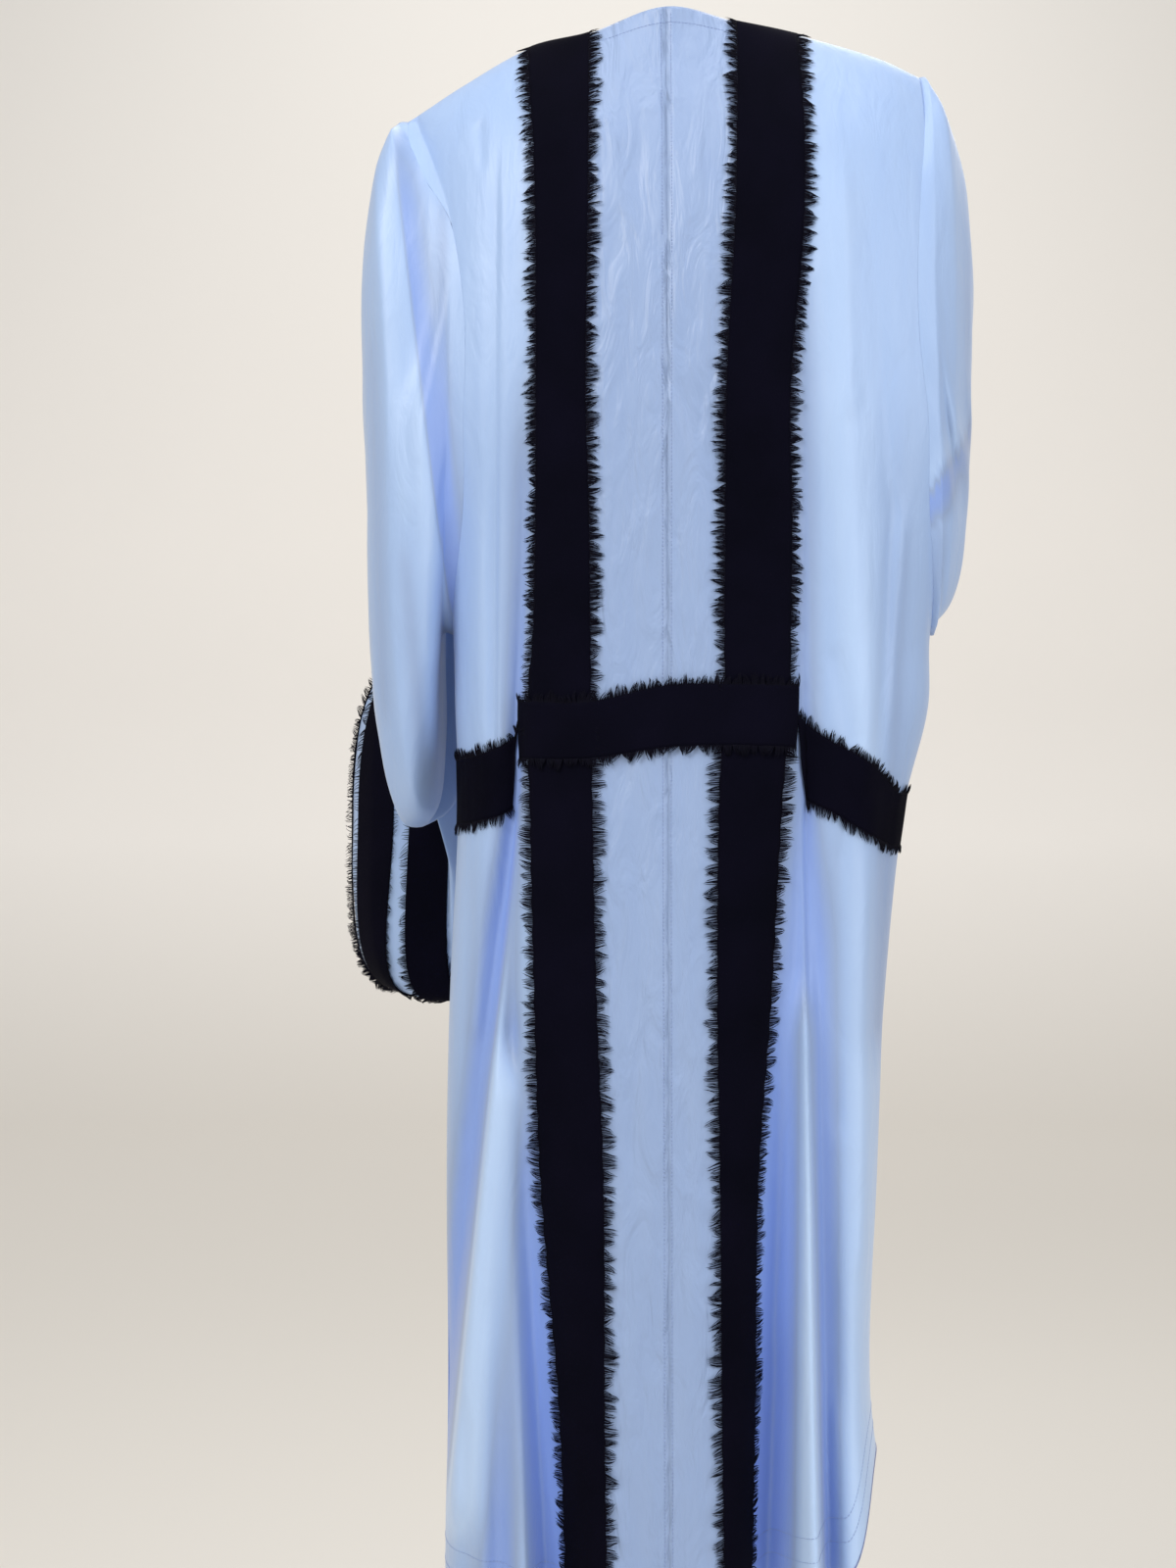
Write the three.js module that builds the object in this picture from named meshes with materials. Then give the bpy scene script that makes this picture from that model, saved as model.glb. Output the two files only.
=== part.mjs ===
// A long open abaya of pale blue satin, hanging as it is worn: wide sleeves, two black
// fringed bands down the back, a black fringed belt at the hips and fringed sleeve ends.
// Millimetres. +Z is up, the back of the garment faces -Y and its right shoulder is at +X
// as it is seen from behind. The origin lies between the shoulders, inside the neck.
import * as THREE from "three";

const CLOTH = 1.6; // wall of the satin and of each black band
const FRINGE = 1.2; // wall of a fringe strip
const SEAM_GAP = 0.3; // between two pieces that are sewn edge to edge
const LAY_GAP = 0.4; // between a piece and what lies on it
const UNDERARM = -540; // height of both underarm points
const SHOULDER_ROUND = 115; // how far down the cloth bends round the shoulder
const ARMHOLE_HALF = 78; // half the width of an armhole, front to back
const CORNER = 2.5; // squareness of the body's section
const BAND_MARGIN = 13; // cloth beside a band that its fringe lies on
const LOCK_HALF = 7; // half the root of one lock of fringe
const SHORTEST_GAP = 5; // a shorter gap between knots has no lock
const BELT_ROWS = 5;
const BELT_END = 5.55; // column of the backs at which the belt's centre piece ends
const STRIP = 2.6; // width of the strip that holds the locks
const LOCK_REACH = 10; // from a band's edge to the tip of its longest locks
const TIP_LIFT = 0.8; // how far a lock's tip stands off
const HEM = -1450;

const satin = new THREE.MeshStandardMaterial({ color: 0xa9c0e8, roughness: 0.42, metalness: 0 });
const black = new THREE.MeshStandardMaterial({ color: 0x0b0b1c, roughness: 0.85, metalness: 0 });

// The body's section at each height: half widths to each side, depths to back and front,
// and the edges of the two bands, left outer to right outer.
const LEVELS = [
  { z: 40, left: 240, right: 240, back: 56, front: 60, lo: -127, li: -71, ri: 66, ro: 124 },
  { z: -150, left: 226, right: 277, back: 100, front: 88, lo: -120, li: -72, ri: 62, ro: 125 },
  { z: -320, left: 230, right: 292, back: 110, front: 100, lo: -119, li: -74, ri: 53, ro: 111 },
  { z: -440, left: 207, right: 266, back: 110, front: 103, lo: -119, li: -71, ri: 52, ro: 112 },
  { z: -540, left: 199, right: 250, back: 110, front: 105, lo: -121, li: -70, ri: 51, ro: 111 },
  { z: -610, left: 197, right: 248, back: 111, front: 106, lo: -126, li: -69, ri: 51, ro: 110 },
  { z: -700, left: 194, right: 226, back: 115, front: 110, lo: -124, li: -68, ri: 46, ro: 103 },
  { z: -880, left: 202, right: 207, back: 126, front: 118, lo: -120, li: -64, ri: 44, ro: 92 },
  { z: -1040, left: 205, right: 199, back: 134, front: 124, lo: -114, li: -58, ri: 46, ro: 80 },
  { z: -1240, left: 204, right: 192, back: 144, front: 132, lo: -97, li: -57, ri: 47, ro: 77 },
  { z: -1400, left: 206, right: 211, back: 152, front: 140, lo: -91, li: -55, ri: 49, ro: 74 },
  { z: -1450, left: 206, right: 202, back: 154, front: 142, lo: -91, li: -55, ri: 49, ro: 74 },
];

// Top edge of the back: shoulder tip, shoulder seam and neck edge, seen from behind.
const BACK_TOP = [
  { x: -242, z: -55, y: 0 },
  { x: -192, z: -23, y: 0 },
  { x: -127, z: 12, y: -6 },
  { x: -71, z: 20, y: -30 },
  { x: 0, z: 37, y: -58 },
  { x: 66, z: 31, y: -30 },
  { x: 124, z: 25, y: -6 },
  { x: 203, z: 4, y: 0 },
  { x: 241, z: -13, y: 0 },
];
const NECK_DROP = 150; // how far the front neck falls below the neck points
const FRONT_NECK_Y = 62;

// Folds of the back: a trough (depth over 0) or ridge (under 0) that runs from x0, z0 to
// x1, z1. It deepens from d0 to d1 and is as wide as "inner" towards the centre of the
// back and "outer" towards the side.
const BACK_FOLDS = [
  { name: "left band groove", x0: -131, z0: -330, x1: -142, z1: -900, d0: 5, d1: 16, inner: 10, outer: 14 },
  { name: "left band trough", x0: -134, z0: -860, x1: -107, z1: -1450, d0: 0, d1: 52, inner: 30, outer: 13 },
  { name: "left slip ridge", x0: -140, z0: -1080, x1: -128, z1: -1450, d0: 0, d1: -12, inner: 8, outer: 16 },
  { name: "left long ridge", x0: -134, z0: -760, x1: -196, z1: -1330, d0: -4, d1: -20, inner: 26, outer: 9 },
  { name: "left long groove", x0: -150, z0: -760, x1: -214, z1: -1330, d0: 10, d1: 22, inner: 9, outer: 16 },
  { name: "left lower trough", x0: -140, z0: -980, x1: -150, z1: -1450, d0: 0, d1: 22, inner: 20, outer: 20 },
  { name: "right broad ridge", x0: 144, z0: -100, x1: 182, z1: -660, d0: -5, d1: -9, inner: 20, outer: 24 },
  { name: "right band groove", x0: 125, z0: -180, x1: 122, z1: -840, d0: 4, d1: 12, inner: 10, outer: 14 },
  { name: "right side groove", x0: 216, z0: -330, x1: 196, z1: -900, d0: 0, d1: 10, inner: 14, outer: 16 },
  { name: "right side ridge", x0: 190, z0: -700, x1: 170, z1: -1450, d0: -4, d1: -20, inner: 24, outer: 22 },
  { name: "right long ridge", x0: 124, z0: -760, x1: 133, z1: -1450, d0: -3, d1: -22, inner: 18, outer: 8 },
  { name: "right long groove", x0: 139, z0: -760, x1: 148, z1: -1450, d0: 10, d1: 24, inner: 8, outer: 18 },
  { name: "right band trough", x0: 116, z0: -700, x1: 89, z1: -1450, d0: 4, d1: 60, inner: 22, outer: 17 },
];

// Plainer folds of the same kind on the two fronts.
const FRONT_FOLDS = [
  { name: "left edge fold", x0: -40, z0: -420, x1: -52, z1: -1450, d0: 0, d1: 20, inner: 20, outer: 22 },
  { name: "left middle fold", x0: -98, z0: -230, x1: -104, z1: -1450, d0: 0, d1: 26, inner: 20, outer: 18 },
  { name: "left side fold", x0: -150, z0: -560, x1: -156, z1: -1450, d0: 0, d1: 22, inner: 18, outer: 18 },
  { name: "right edge fold", x0: 44, z0: -470, x1: 50, z1: -1450, d0: 0, d1: 18, inner: 22, outer: 20 },
  { name: "right middle fold", x0: 104, z0: -260, x1: 98, z1: -1450, d0: 0, d1: 28, inner: 18, outer: 20 },
  { name: "right side fold", x0: 158, z0: -600, x1: 148, z1: -1450, d0: 0, d1: 20, inner: 18, outer: 18 },
];

// Shares of the way from the top edge to the underarm, and from there to the hem.
const UPPER_ROWS = [0, 0.03, 0.07, 0.125, 0.2, 0.3, 0.42, 0.56, 0.7, 0.82, 0.92, 1];
const LOWER_ROWS = [0.07, 0.14, 0.22, 0.31, 0.41, 0.51, 0.61, 0.71, 0.81, 0.91, 1];
const ROWS = UPPER_ROWS.length + LOWER_ROWS.length;
const UNDERARM_ROW = UPPER_ROWS.length - 1;
const RING = 2 * UNDERARM_ROW; // points round a sleeve

// Columns of each half of the back, from its centre: the band's edges are columns 3 and 5.
const BAND_IN = 3;
const BAND_OUT = 5;
const SIDE_STEPS = 9;
const LAST = BAND_OUT + 1 + SIDE_STEPS;

// Sections of a sleeve after the armhole. A section is an oval in the upright plane through
// its outer point (ox, oy) and its inner point (ix, iy), from a bottom at bx to a top at tx.
// "hug" is its share of the armhole's own shape.
const LEFT_SLEEVE = [
  { ox: -199, oy: -58, ix: -207, iy: 58, tx: -250, bx: -210, top: -57, bottom: -556, hug: 0.85 },
  { ox: -224, oy: -76, ix: -213, iy: 66, tx: -256, bx: -214, top: -66, bottom: -640, hug: 0.12 },
  { ox: -256, oy: -64, ix: -212, iy: 70, tx: -262, bx: -222, top: -92, bottom: -705, hug: 0 },
  { ox: -277, oy: -24, ix: -212, iy: 76, tx: -268, bx: -236, top: -145, bottom: -722, hug: 0 },
  { ox: -280, oy: 24, ix: -192, iy: 86, tx: -262, bx: -225, top: -240, bottom: -714, hug: 0 },
  { ox: -249, oy: 46, ix: -180, iy: 98, tx: -244, bx: -208, top: -340, bottom: -692, hug: 0 },
  { ox: -234, oy: 63, ix: -169, iy: 104, tx: -220, bx: -210, top: -400, bottom: -698, hug: 0 },
  { ox: -214, oy: 88, ix: -157, iy: 121, tx: -196, bx: -189, top: -440, bottom: -789, hug: 0 },
  { ox: -208, oy: 105, ix: -146, iy: 140, tx: -188, bx: -190, top: -470, bottom: -886, hug: 0 },
  { ox: -248, oy: 113, ix: -150, iy: 155, tx: -196, bx: -214, top: -492, bottom: -896, hug: 0 },
  { ox: -264, oy: 118, ix: -154, iy: 168, tx: -206, bx: -228, top: -506, bottom: -895, hug: 0 },
  { ox: -286, oy: 133, ix: -161, iy: 183, tx: -218, bx: -240, top: -524, bottom: -892, hug: 0 },
  { ox: -302, oy: 156, ix: -168, iy: 196, tx: -230, bx: -248, top: -540, bottom: -890, hug: 0 },
  { ox: -310, oy: 177, ix: -175, iy: 210, tx: -240, bx: -254, top: -552, bottom: -889, hug: 0 },
  { ox: -314, oy: 228, ix: -186, iy: 244, tx: -250, bx: -260, top: -575, bottom: -890, hug: 0 },
];
const RIGHT_SLEEVE = [
  { ox: 247, oy: -60, ix: 234, iy: 62, tx: 248, bx: 255, top: -17, bottom: -538, hug: 0.85 },
  { ox: 268, oy: -49, ix: 241, iy: 76, tx: 256, bx: 256, top: -36, bottom: -527, hug: 0.12 },
  { ox: 288, oy: -12, ix: 237, iy: 79, tx: 270, bx: 261, top: -84, bottom: -518, hug: 0 },
  { ox: 293, oy: 28, ix: 228, iy: 98, tx: 278, bx: 251, top: -160, bottom: -515, hug: 0 },
  { ox: 282, oy: 72, ix: 200, iy: 110, tx: 262, bx: 224, top: -250, bottom: -529, hug: 0 },
  { ox: 262, oy: 104, ix: 170, iy: 118, tx: 236, bx: 189, top: -310, bottom: -553, hug: 0 },
  { ox: 256, oy: 115, ix: 158, iy: 135, tx: 222, bx: 204, top: -328, bottom: -590, hug: 0 },
  { ox: 250, oy: 127, ix: 148, iy: 142, tx: 208, bx: 198, top: -343, bottom: -625, hug: 0 },
  { ox: 243, oy: 142, ix: 138, iy: 150, tx: 196, bx: 196, top: -358, bottom: -655, hug: 0 },
  { ox: 227, oy: 186, ix: 118, iy: 170, tx: 178, bx: 184, top: -372, bottom: -676, hug: 0 },
  { ox: 219, oy: 205, ix: 112, iy: 180, tx: 170, bx: 177, top: -380, bottom: -682, hug: 0 },
  { ox: 208, oy: 230, ix: 106, iy: 194, tx: 161, bx: 168, top: -388, bottom: -689, hug: 0 },
  { ox: 198, oy: 252, ix: 100, iy: 206, tx: 152, bx: 160, top: -396, bottom: -695, hug: 0 },
  { ox: 190, oy: 270, ix: 95, iy: 216, tx: 146, bx: 153, top: -404, bottom: -701, hug: 0 },
  { ox: 166, oy: 314, ix: 84, iy: 238, tx: 126, bx: 133, top: -420, bottom: -712, hug: 0 },
];
const SLEEVE_OVAL = 0.72; // under 1 makes the sleeve's section squarer than an ellipse
// A sleeve's three bands run from one of its sections to another, the last to its edge.
const SLEEVE_BANDS = [
  { name: "upper", from: 9, to: 10 },
  { name: "middle", from: 11, to: 13 },
  { name: "edge", from: 14, to: 15 },
];
// Shade folds of the left sleeve's hanging cloth, as the folds of the back.
const LEFT_SLEEVE_FOLDS = [
  { name: "diagonal fold", x0: -250, z0: -120, x1: -196, z1: -640, d0: 10, d1: 20, inner: 12, outer: 12 },
];

// Belt edges, seen from behind: the height of the top and of the bottom edge at each x.
const BELT_CENTRE = [
  { x: -132, top: -606, bottom: -658 },
  { x: -72, top: -607, bottom: -658 },
  { x: 0, top: -592, bottom: -648 },
  { x: 60, top: -591, bottom: -646 },
  { x: 120, top: -592, bottom: -648 },
];
const BELT_LEFT = [
  { x: -132, top: -630, bottom: -692 },
  { x: -152, top: -646, bottom: -708 },
  { x: -178, top: -656, bottom: -716 },
  { x: -200, top: -660, bottom: -719 },
];
const BELT_RIGHT = [
  { x: 120, top: -622, bottom: -690 },
  { x: 150, top: -642, bottom: -702 },
  { x: 176, top: -654, bottom: -714 },
  { x: 200, top: -668, bottom: -726 },
  { x: 232, top: -690, bottom: -738 },
];

const mix = (a, b, f) => a + (b - a) * f;
const clamp01 = (f) => Math.min(1, Math.max(0, f));
const smooth = (f) => clamp01(f) ** 2 * (3 - 2 * clamp01(f));

// Value of one column of a table at a place between its rows, on a smooth curve.
function along(table, by, key, at) {
  const sign = Math.sign(table[1][by] - table[0][by]);
  let k = 0;
  while (k < table.length - 2 && (at - table[k + 1][by]) * sign > 0) k++;
  const span = table[k + 1][by] - table[k][by];
  const f = clamp01((at - table[k][by]) / span);
  const slope = (a, b) => (table[b][key] - table[a][key]) / (table[b][by] - table[a][by]);
  const m0 = k > 0 ? slope(k - 1, k + 1) : slope(k, k + 1);
  const m1 = k + 2 < table.length ? slope(k, k + 2) : slope(k, k + 1);
  const h0 = table[k][key] * (1 + 2 * f) * (1 - f) ** 2;
  const h1 = table[k + 1][key] * f * f * (3 - 2 * f);
  return h0 + h1 + span * (m0 * f * (1 - f) ** 2 - m1 * f * f * (1 - f));
}

// How far the folds push the cloth in at a place seen from behind or in front.
function foldDepth(folds, x, z) {
  let depth = 0;
  for (const fold of folds) {
    const f = (z - fold.z0) / (fold.z1 - fold.z0);
    if (f < -0.12 || f > 1.12) continue;
    const fade = smooth((f + 0.12) / 0.24) * smooth((1.12 - f) / 0.12);
    const off = (x - mix(fold.x0, fold.x1, f)) * Math.sign(fold.x0);
    const width = off < 0 ? fold.inner : fold.outer;
    depth += mix(fold.d0, fold.d1, clamp01(f)) * fade * Math.exp(-((off / width) ** 2));
  }
  return depth;
}

// Half opening of the armhole, front to back, at a height on one side.
function armholeHalf(side, z) {
  const tip = side < 0 ? BACK_TOP[0].z : BACK_TOP[BACK_TOP.length - 1].z;
  const f = (tip - z) / (tip - UNDERARM);
  return f <= 0 || f >= 1 ? 0 : ARMHOLE_HALF * Math.sin(Math.PI * f) ** 0.55;
}

// x of a superellipse at a depth y, and y at an x.
const sectionX = (w, d, y) => w * (1 - Math.min(1, y / d) ** CORNER) ** (1 / CORNER);
const sectionY = (w, d, x) => d * (1 - Math.min(1, Math.abs(x) / w) ** CORNER) ** (1 / CORNER);

function hemAt(x, back) {
  const right = 62 * smooth(x / 240) + 85 * smooth((x - 200) / 41);
  const rise = x > 0 ? right : 14 * smooth(-x / 240);
  return HEM + rise + (back ? 0 : 14 * smooth(1 - Math.abs(x) / 200));
}

// x of a column at a height, from the centre of the back or front to its side.
function columnX(side, column, z, end) {
  const inner = Math.abs(along(LEVELS, "z", side < 0 ? "li" : "ri", z));
  const outer = Math.abs(along(LEVELS, "z", side < 0 ? "lo" : "ro", z));
  const first = [0, inner * 0.45, inner - BAND_MARGIN, inner, (inner + outer) / 2, outer];
  if (column <= BAND_OUT) return side * first[column];
  const start = outer + BAND_MARGIN;
  const f = (column - BAND_OUT - 1) / SIDE_STEPS;
  const spread = mix(f, Math.sin((f * Math.PI) / 2), 0.7);
  return side * mix(start, end, spread);
}

// A point of the body: side is -1 or 1, and back tells the back from the front.
function bodyPoint(side, column, row, back) {
  const tip = side < 0 ? BACK_TOP[0] : BACK_TOP[BACK_TOP.length - 1];
  const topX = columnX(side, column, 40, Math.abs(tip.x));
  let top = along(BACK_TOP, "x", "z", topX);
  let ridge = along(BACK_TOP, "x", "y", topX);
  const neck = Math.abs(columnX(side, BAND_IN, 40, Math.abs(tip.x)));
  if (!back && Math.abs(topX) < neck) {
    const into = 1 - Math.abs(topX) / neck;
    const point = along(BACK_TOP, "x", "z", side * neck);
    top = point - NECK_DROP * Math.sin((into * Math.PI) / 2) ** 0.9;
    ridge = mix(along(BACK_TOP, "x", "y", side * neck), FRONT_NECK_Y, Math.sin((into * Math.PI) / 2));
  }
  const upper = row <= UNDERARM_ROW;
  const z = upper
    ? mix(top, UNDERARM, UPPER_ROWS[row])
    : mix(UNDERARM, hemAt(topX, back), LOWER_ROWS[row - UNDERARM_ROW - 1]);
  const width = along(LEVELS, "z", side < 0 ? "left" : "right", z);
  const depth = along(LEVELS, "z", back ? "back" : "front", z);
  const open = armholeHalf(side, z);
  const end = sectionX(width, depth, open);
  const fall = top - z;
  const ease = Math.sqrt(1 - (1 - clamp01(fall / SHOULDER_ROUND)) ** 2);
  const x = mix(topX, columnX(side, column, z, end), smooth(fall / SHOULDER_ROUND));
  const full = column === LAST ? open : Math.max(open, sectionY(width, depth, x));
  const edge = smooth((full - open) / 30);
  const folds = back ? foldDepth(BACK_FOLDS, x, z) : foldDepth(FRONT_FOLDS, x, z);
  const pushed = full - folds * edge * ease;
  const y = back ? mix(ridge, -pushed, ease) : mix(ridge, pushed, ease);
  return new THREE.Vector3(x, y, z);
}

// A grid of points, row by row. "turn" is 1 where column x row points out, and -1 where
// it points in; a closed grid joins its last column to its first.
function makeGrid(rows, columns, turn, closed, point) {
  const grid = { rows, columns, turn, closed, points: [], normals: [] };
  for (let r = 0; r < rows; r++) {
    for (let c = 0; c < columns; c++) grid.points.push(point(r, c));
  }
  return grid;
}

const index = (grid, r, c) => r * grid.columns + (grid.closed ? (c + grid.columns) % grid.columns : c);

// Adds each facet's normal to its corners. Corners that lie at one place share the sum,
// so pieces that are sewn together have walls that meet square.
function shareNormals(grids) {
  const sums = new Map();
  const keyOf = (p) => p.toArray().map((v) => Math.round(v * 20)).join();
  for (const grid of grids) {
    const across = grid.closed ? grid.columns : grid.columns - 1;
    for (let r = 0; r < grid.rows - 1; r++) {
      for (let c = 0; c < across; c++) {
        const corners = [[r, c], [r, c + 1], [r + 1, c + 1], [r + 1, c]];
        const ids = corners.map(([i, k]) => index(grid, i, k));
        const [a, b, d, e] = ids.map((id) => grid.points[id]);
        const normal = d.clone().sub(a).cross(e.clone().sub(b)).multiplyScalar(grid.turn);
        for (const id of ids) {
          const key = keyOf(grid.points[id]);
          if (!sums.has(key)) sums.set(key, new THREE.Vector3());
          sums.get(key).add(normal);
        }
      }
    }
  }
  for (const grid of grids) {
    grid.normals = grid.points.map((p) => sums.get(keyOf(p)).clone().normalize());
  }
}

// Draws one border of a grid in by half a seam's gap.
function drawIn(grid, border, gap = SEAM_GAP / 2 + 0.05) {
  const lines = { top: [0, 1], bottom: [grid.rows - 1, -1], first: [0, 1], last: [grid.columns - 1, -1] };
  const [at, step] = lines[border];
  const upright = border === "top" || border === "bottom";
  const count = upright ? grid.columns : grid.rows;
  for (let k = 0; k < count; k++) {
    const id = upright ? index(grid, at, k) : index(grid, k, at);
    const next = upright ? index(grid, at + step, k) : index(grid, k, at + step);
    const way = grid.points[next].clone().sub(grid.points[id]).setLength(gap);
    grid.points[id] = grid.points[id].clone().add(way);
  }
}

// The place and normal at a row and column between a grid's points.
function onGrid(grid, row, column) {
  const r = Math.min(Math.max(Math.floor(row), 0), grid.rows - 2);
  const most = grid.closed ? grid.columns - 1 : grid.columns - 2;
  const c = Math.min(Math.max(Math.floor(column), 0), most);
  const blend = (list) => {
    const near = list[index(grid, r, c)].clone().lerp(list[index(grid, r, c + 1)], column - c);
    const far = list[index(grid, r + 1, c)].clone().lerp(list[index(grid, r + 1, c + 1)], column - c);
    return near.lerp(far, row - r);
  };
  return { p: blend(grid.points), n: blend(grid.normals).normalize() };
}

function closedMesh(name, vertices, faces, material) {
  let volume = 0;
  for (const [a, b, c] of faces) volume += vertices[a].dot(vertices[b].clone().cross(vertices[c]));
  const ordered = volume < 0 ? faces.map(([a, b, c]) => [a, c, b]) : faces;
  const geometry = new THREE.BufferGeometry();
  const values = vertices.flatMap((v) => v.toArray());
  geometry.setAttribute("position", new THREE.Float32BufferAttribute(values, 3));
  geometry.setIndex(ordered.flat());
  geometry.computeVertexNormals();
  const mesh = new THREE.Mesh(geometry, material);
  mesh.name = name;
  return mesh;
}

// A thin closed wall on a grid, its middle raised from the grid by lift(column).
function wall(name, grid, thickness, lift, material) {
  const { rows, columns, closed } = grid;
  const vertices = [];
  for (const side of [0.5, -0.5]) {
    grid.points.forEach((p, id) => {
      const rise = lift(id % columns) + side * thickness;
      vertices.push(p.clone().addScaledVector(grid.normals[id], rise));
    });
  }
  const under = rows * columns;
  const faces = [];
  const quad = (a, b, c, d) => faces.push([a, b, c], [a, c, d]);
  const across = closed ? columns : columns - 1;
  for (let r = 0; r < rows - 1; r++) {
    for (let c = 0; c < across; c++) {
      const [a, b] = [index(grid, r, c), index(grid, r, c + 1)];
      const [d, e] = [index(grid, r + 1, c + 1), index(grid, r + 1, c)];
      quad(a, b, d, e);
      faces.push([under + a, under + d, under + b], [under + a, under + e, under + d]);
    }
  }
  for (let c = 0; c < across; c++) {
    const [a, b] = [index(grid, 0, c), index(grid, 0, c + 1)];
    const [d, e] = [index(grid, rows - 1, c), index(grid, rows - 1, c + 1)];
    quad(b, a, under + a, under + b);
    quad(d, e, under + e, under + d);
  }
  for (let r = 0; r < rows - 1 && !closed; r++) {
    const [a, b] = [index(grid, r, 0), index(grid, r + 1, 0)];
    const [d, e] = [index(grid, r, columns - 1), index(grid, r + 1, columns - 1)];
    quad(a, b, under + b, under + a);
    quad(e, d, under + d, under + e);
  }
  return closedMesh(name, vertices, faces, material);
}

// A fringe: a narrow strip along a band's edge, with a pointed lock wherever a stop of
// its path has a tip. Each stop has an edge a, an edge b and a normal n.
function fringe(name, path, closed, material) {
  const vertices = [];
  for (const stop of path) {
    for (const [at, side] of [[stop.a, 0.5], [stop.b, 0.5], [stop.b, -0.5], [stop.a, -0.5]]) {
      vertices.push(at.clone().addScaledVector(stop.n, side * FRINGE));
    }
  }
  const faces = [];
  const count = closed ? path.length : path.length - 1;
  for (let k = 0; k < count; k++) {
    const near = 4 * k;
    const far = 4 * ((k + 1) % path.length);
    for (let s = 0; s < 4; s++) {
      const t = (s + 1) % 4;
      if (s === 1 && path[k].tip) {
        const tip = vertices.push(path[k].tip) - 1;
        faces.push([near + s, near + t, tip], [near + t, far + t, tip]);
        faces.push([far + t, far + s, tip], [far + s, near + s, tip]);
      } else faces.push([near + s, near + t, far + t], [near + s, far + t, far + s]);
    }
  }
  if (!closed) {
    const end = 4 * (path.length - 1);
    faces.push([0, 2, 1], [0, 3, 2], [end, end + 1, end + 2], [end, end + 2, end + 3]);
  }
  return closedMesh(name, vertices, faces, material);
}

// A path for a fringe beside an edge of a grid. The stops stand in pairs, one pair to a
// lock. place(s) gives a place on the edge, the way out from it and its normal.
function fringePath(stops, place, lift, gap = SEAM_GAP) {
  return stops.map(({ s, lock }, k) => {
    const { p, out, n } = place(s);
    const base = p.clone().addScaledVector(n, lift(s));
    const stop = { a: base.clone().addScaledVector(out, gap), n };
    stop.b = base.clone().addScaledVector(out, gap + STRIP);
    if (lock) {
      const middle = place((s + stops[k + 1].s) / 2 + 0.1 * Math.sin(5 * k) * (stops[k + 1].s - s));
      const reach = Math.min(LOCK_REACH - 1.6 + 1.6 * Math.sin(2.4 * k), 0.8 * (middle.room ?? BAND_MARGIN));
      stop.tip = middle.p.clone().addScaledVector(middle.n, lift(s) + TIP_LIFT);
      stop.tip.addScaledVector(middle.out, reach);
    }
    return stop;
  });
}

// Stops along an edge: its knots, and in every first, second or third gap between two
// knots a lock in the middle, no wider than a third of the gap.
function lockStops(knots, place, every) {
  const stops = [{ s: knots[0], lock: false }];
  for (let k = 1; k < knots.length; k++) {
    const gap = place(knots[k]).p.distanceTo(place(knots[k - 1]).p);
    if (k % every === 0 && gap > SHORTEST_GAP) {
      const half = Math.min(LOCK_HALF / gap, 0.34) * (knots[k] - knots[k - 1]);
      const middle = (knots[k] + knots[k - 1]) / 2;
      stops.push({ s: middle - half, lock: true }, { s: middle + half, lock: false });
    }
    stops.push({ s: knots[k], lock: false });
  }
  return stops;
}

// A lift between two columns.
const mixAt = (lift, c) => mix(lift(Math.floor(c)), lift(Math.ceil(c)), c - Math.floor(c));

// The row at which a column of a grid comes down to a height.
function rowAt(grid, column, z) {
  let r = 0;
  while (r < grid.rows - 2 && onGrid(grid, r + 1, column).p.z > z) r++;
  const above = onGrid(grid, r, column).p.z;
  return r + (above - z) / (above - onGrid(grid, r + 1, column).p.z);
}

const root = new THREE.Group();
const blueLift = () => 0;
const onBlue = CLOTH + LAY_GAP;
const onBand = 2 * onBlue;
const fringeLift = (CLOTH + FRINGE) / 2 + LAY_GAP + 0.25;

// Back and front halves
const backs = {};
const fronts = {};
const FRONT_COLUMNS = [0, 1, 2, 3, 5, 7, 9, 11, 13, 15];
for (const side of [-1, 1]) {
  backs[side] = makeGrid(ROWS, LAST + 1, -side, false, (r, c) => bodyPoint(side, c, r, true));
  fronts[side] = makeGrid(ROWS, FRONT_COLUMNS.length, side, false, (r, c) =>
    bodyPoint(side, FRONT_COLUMNS[c], r, false),
  );
  for (let c = BAND_IN + 1; c < LAST; c += 2) {
    const line = backs[side].points;
    line[c] = line[c - 1].clone().lerp(line[c + 1], 0.5);
  }
}

// Sleeves: the first ring is the armhole, from the shoulder tip down the back and up again
function sleevePoint(side, table, folds, station, k) {
  const turn = (k / RING) * 2 * Math.PI;
  const row = k <= UNDERARM_ROW ? k : RING - k;
  const armhole = bodyPoint(side, LAST, row, k <= UNDERARM_ROW);
  if (station === 0) return armhole;
  const s = table[station - 1];
  const up = Math.sign(Math.cos(turn)) * Math.abs(Math.cos(turn)) ** SLEEVE_OVAL;
  const out = Math.sign(Math.sin(turn)) * Math.abs(Math.sin(turn)) ** SLEEVE_OVAL;
  const middle = (s.ox + s.ix) / 2;
  const x = middle + ((s.ox - s.ix) / 2) * out + ((up > 0 ? s.tx : s.bx) - middle) * up * up;
  const z = (s.top + s.bottom) / 2 + ((s.top - s.bottom) / 2) * up;
  const push = out > 0 && station < 6 ? foldDepth(folds, x, z) * Math.min(1, out * 1.4) : 0;
  const y = (s.oy + s.iy) / 2 + ((s.oy - s.iy) / 2) * out + push;
  return new THREE.Vector3(x, y, z).lerp(new THREE.Vector3(x, armhole.y, armhole.z), s.hug);
}

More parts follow.
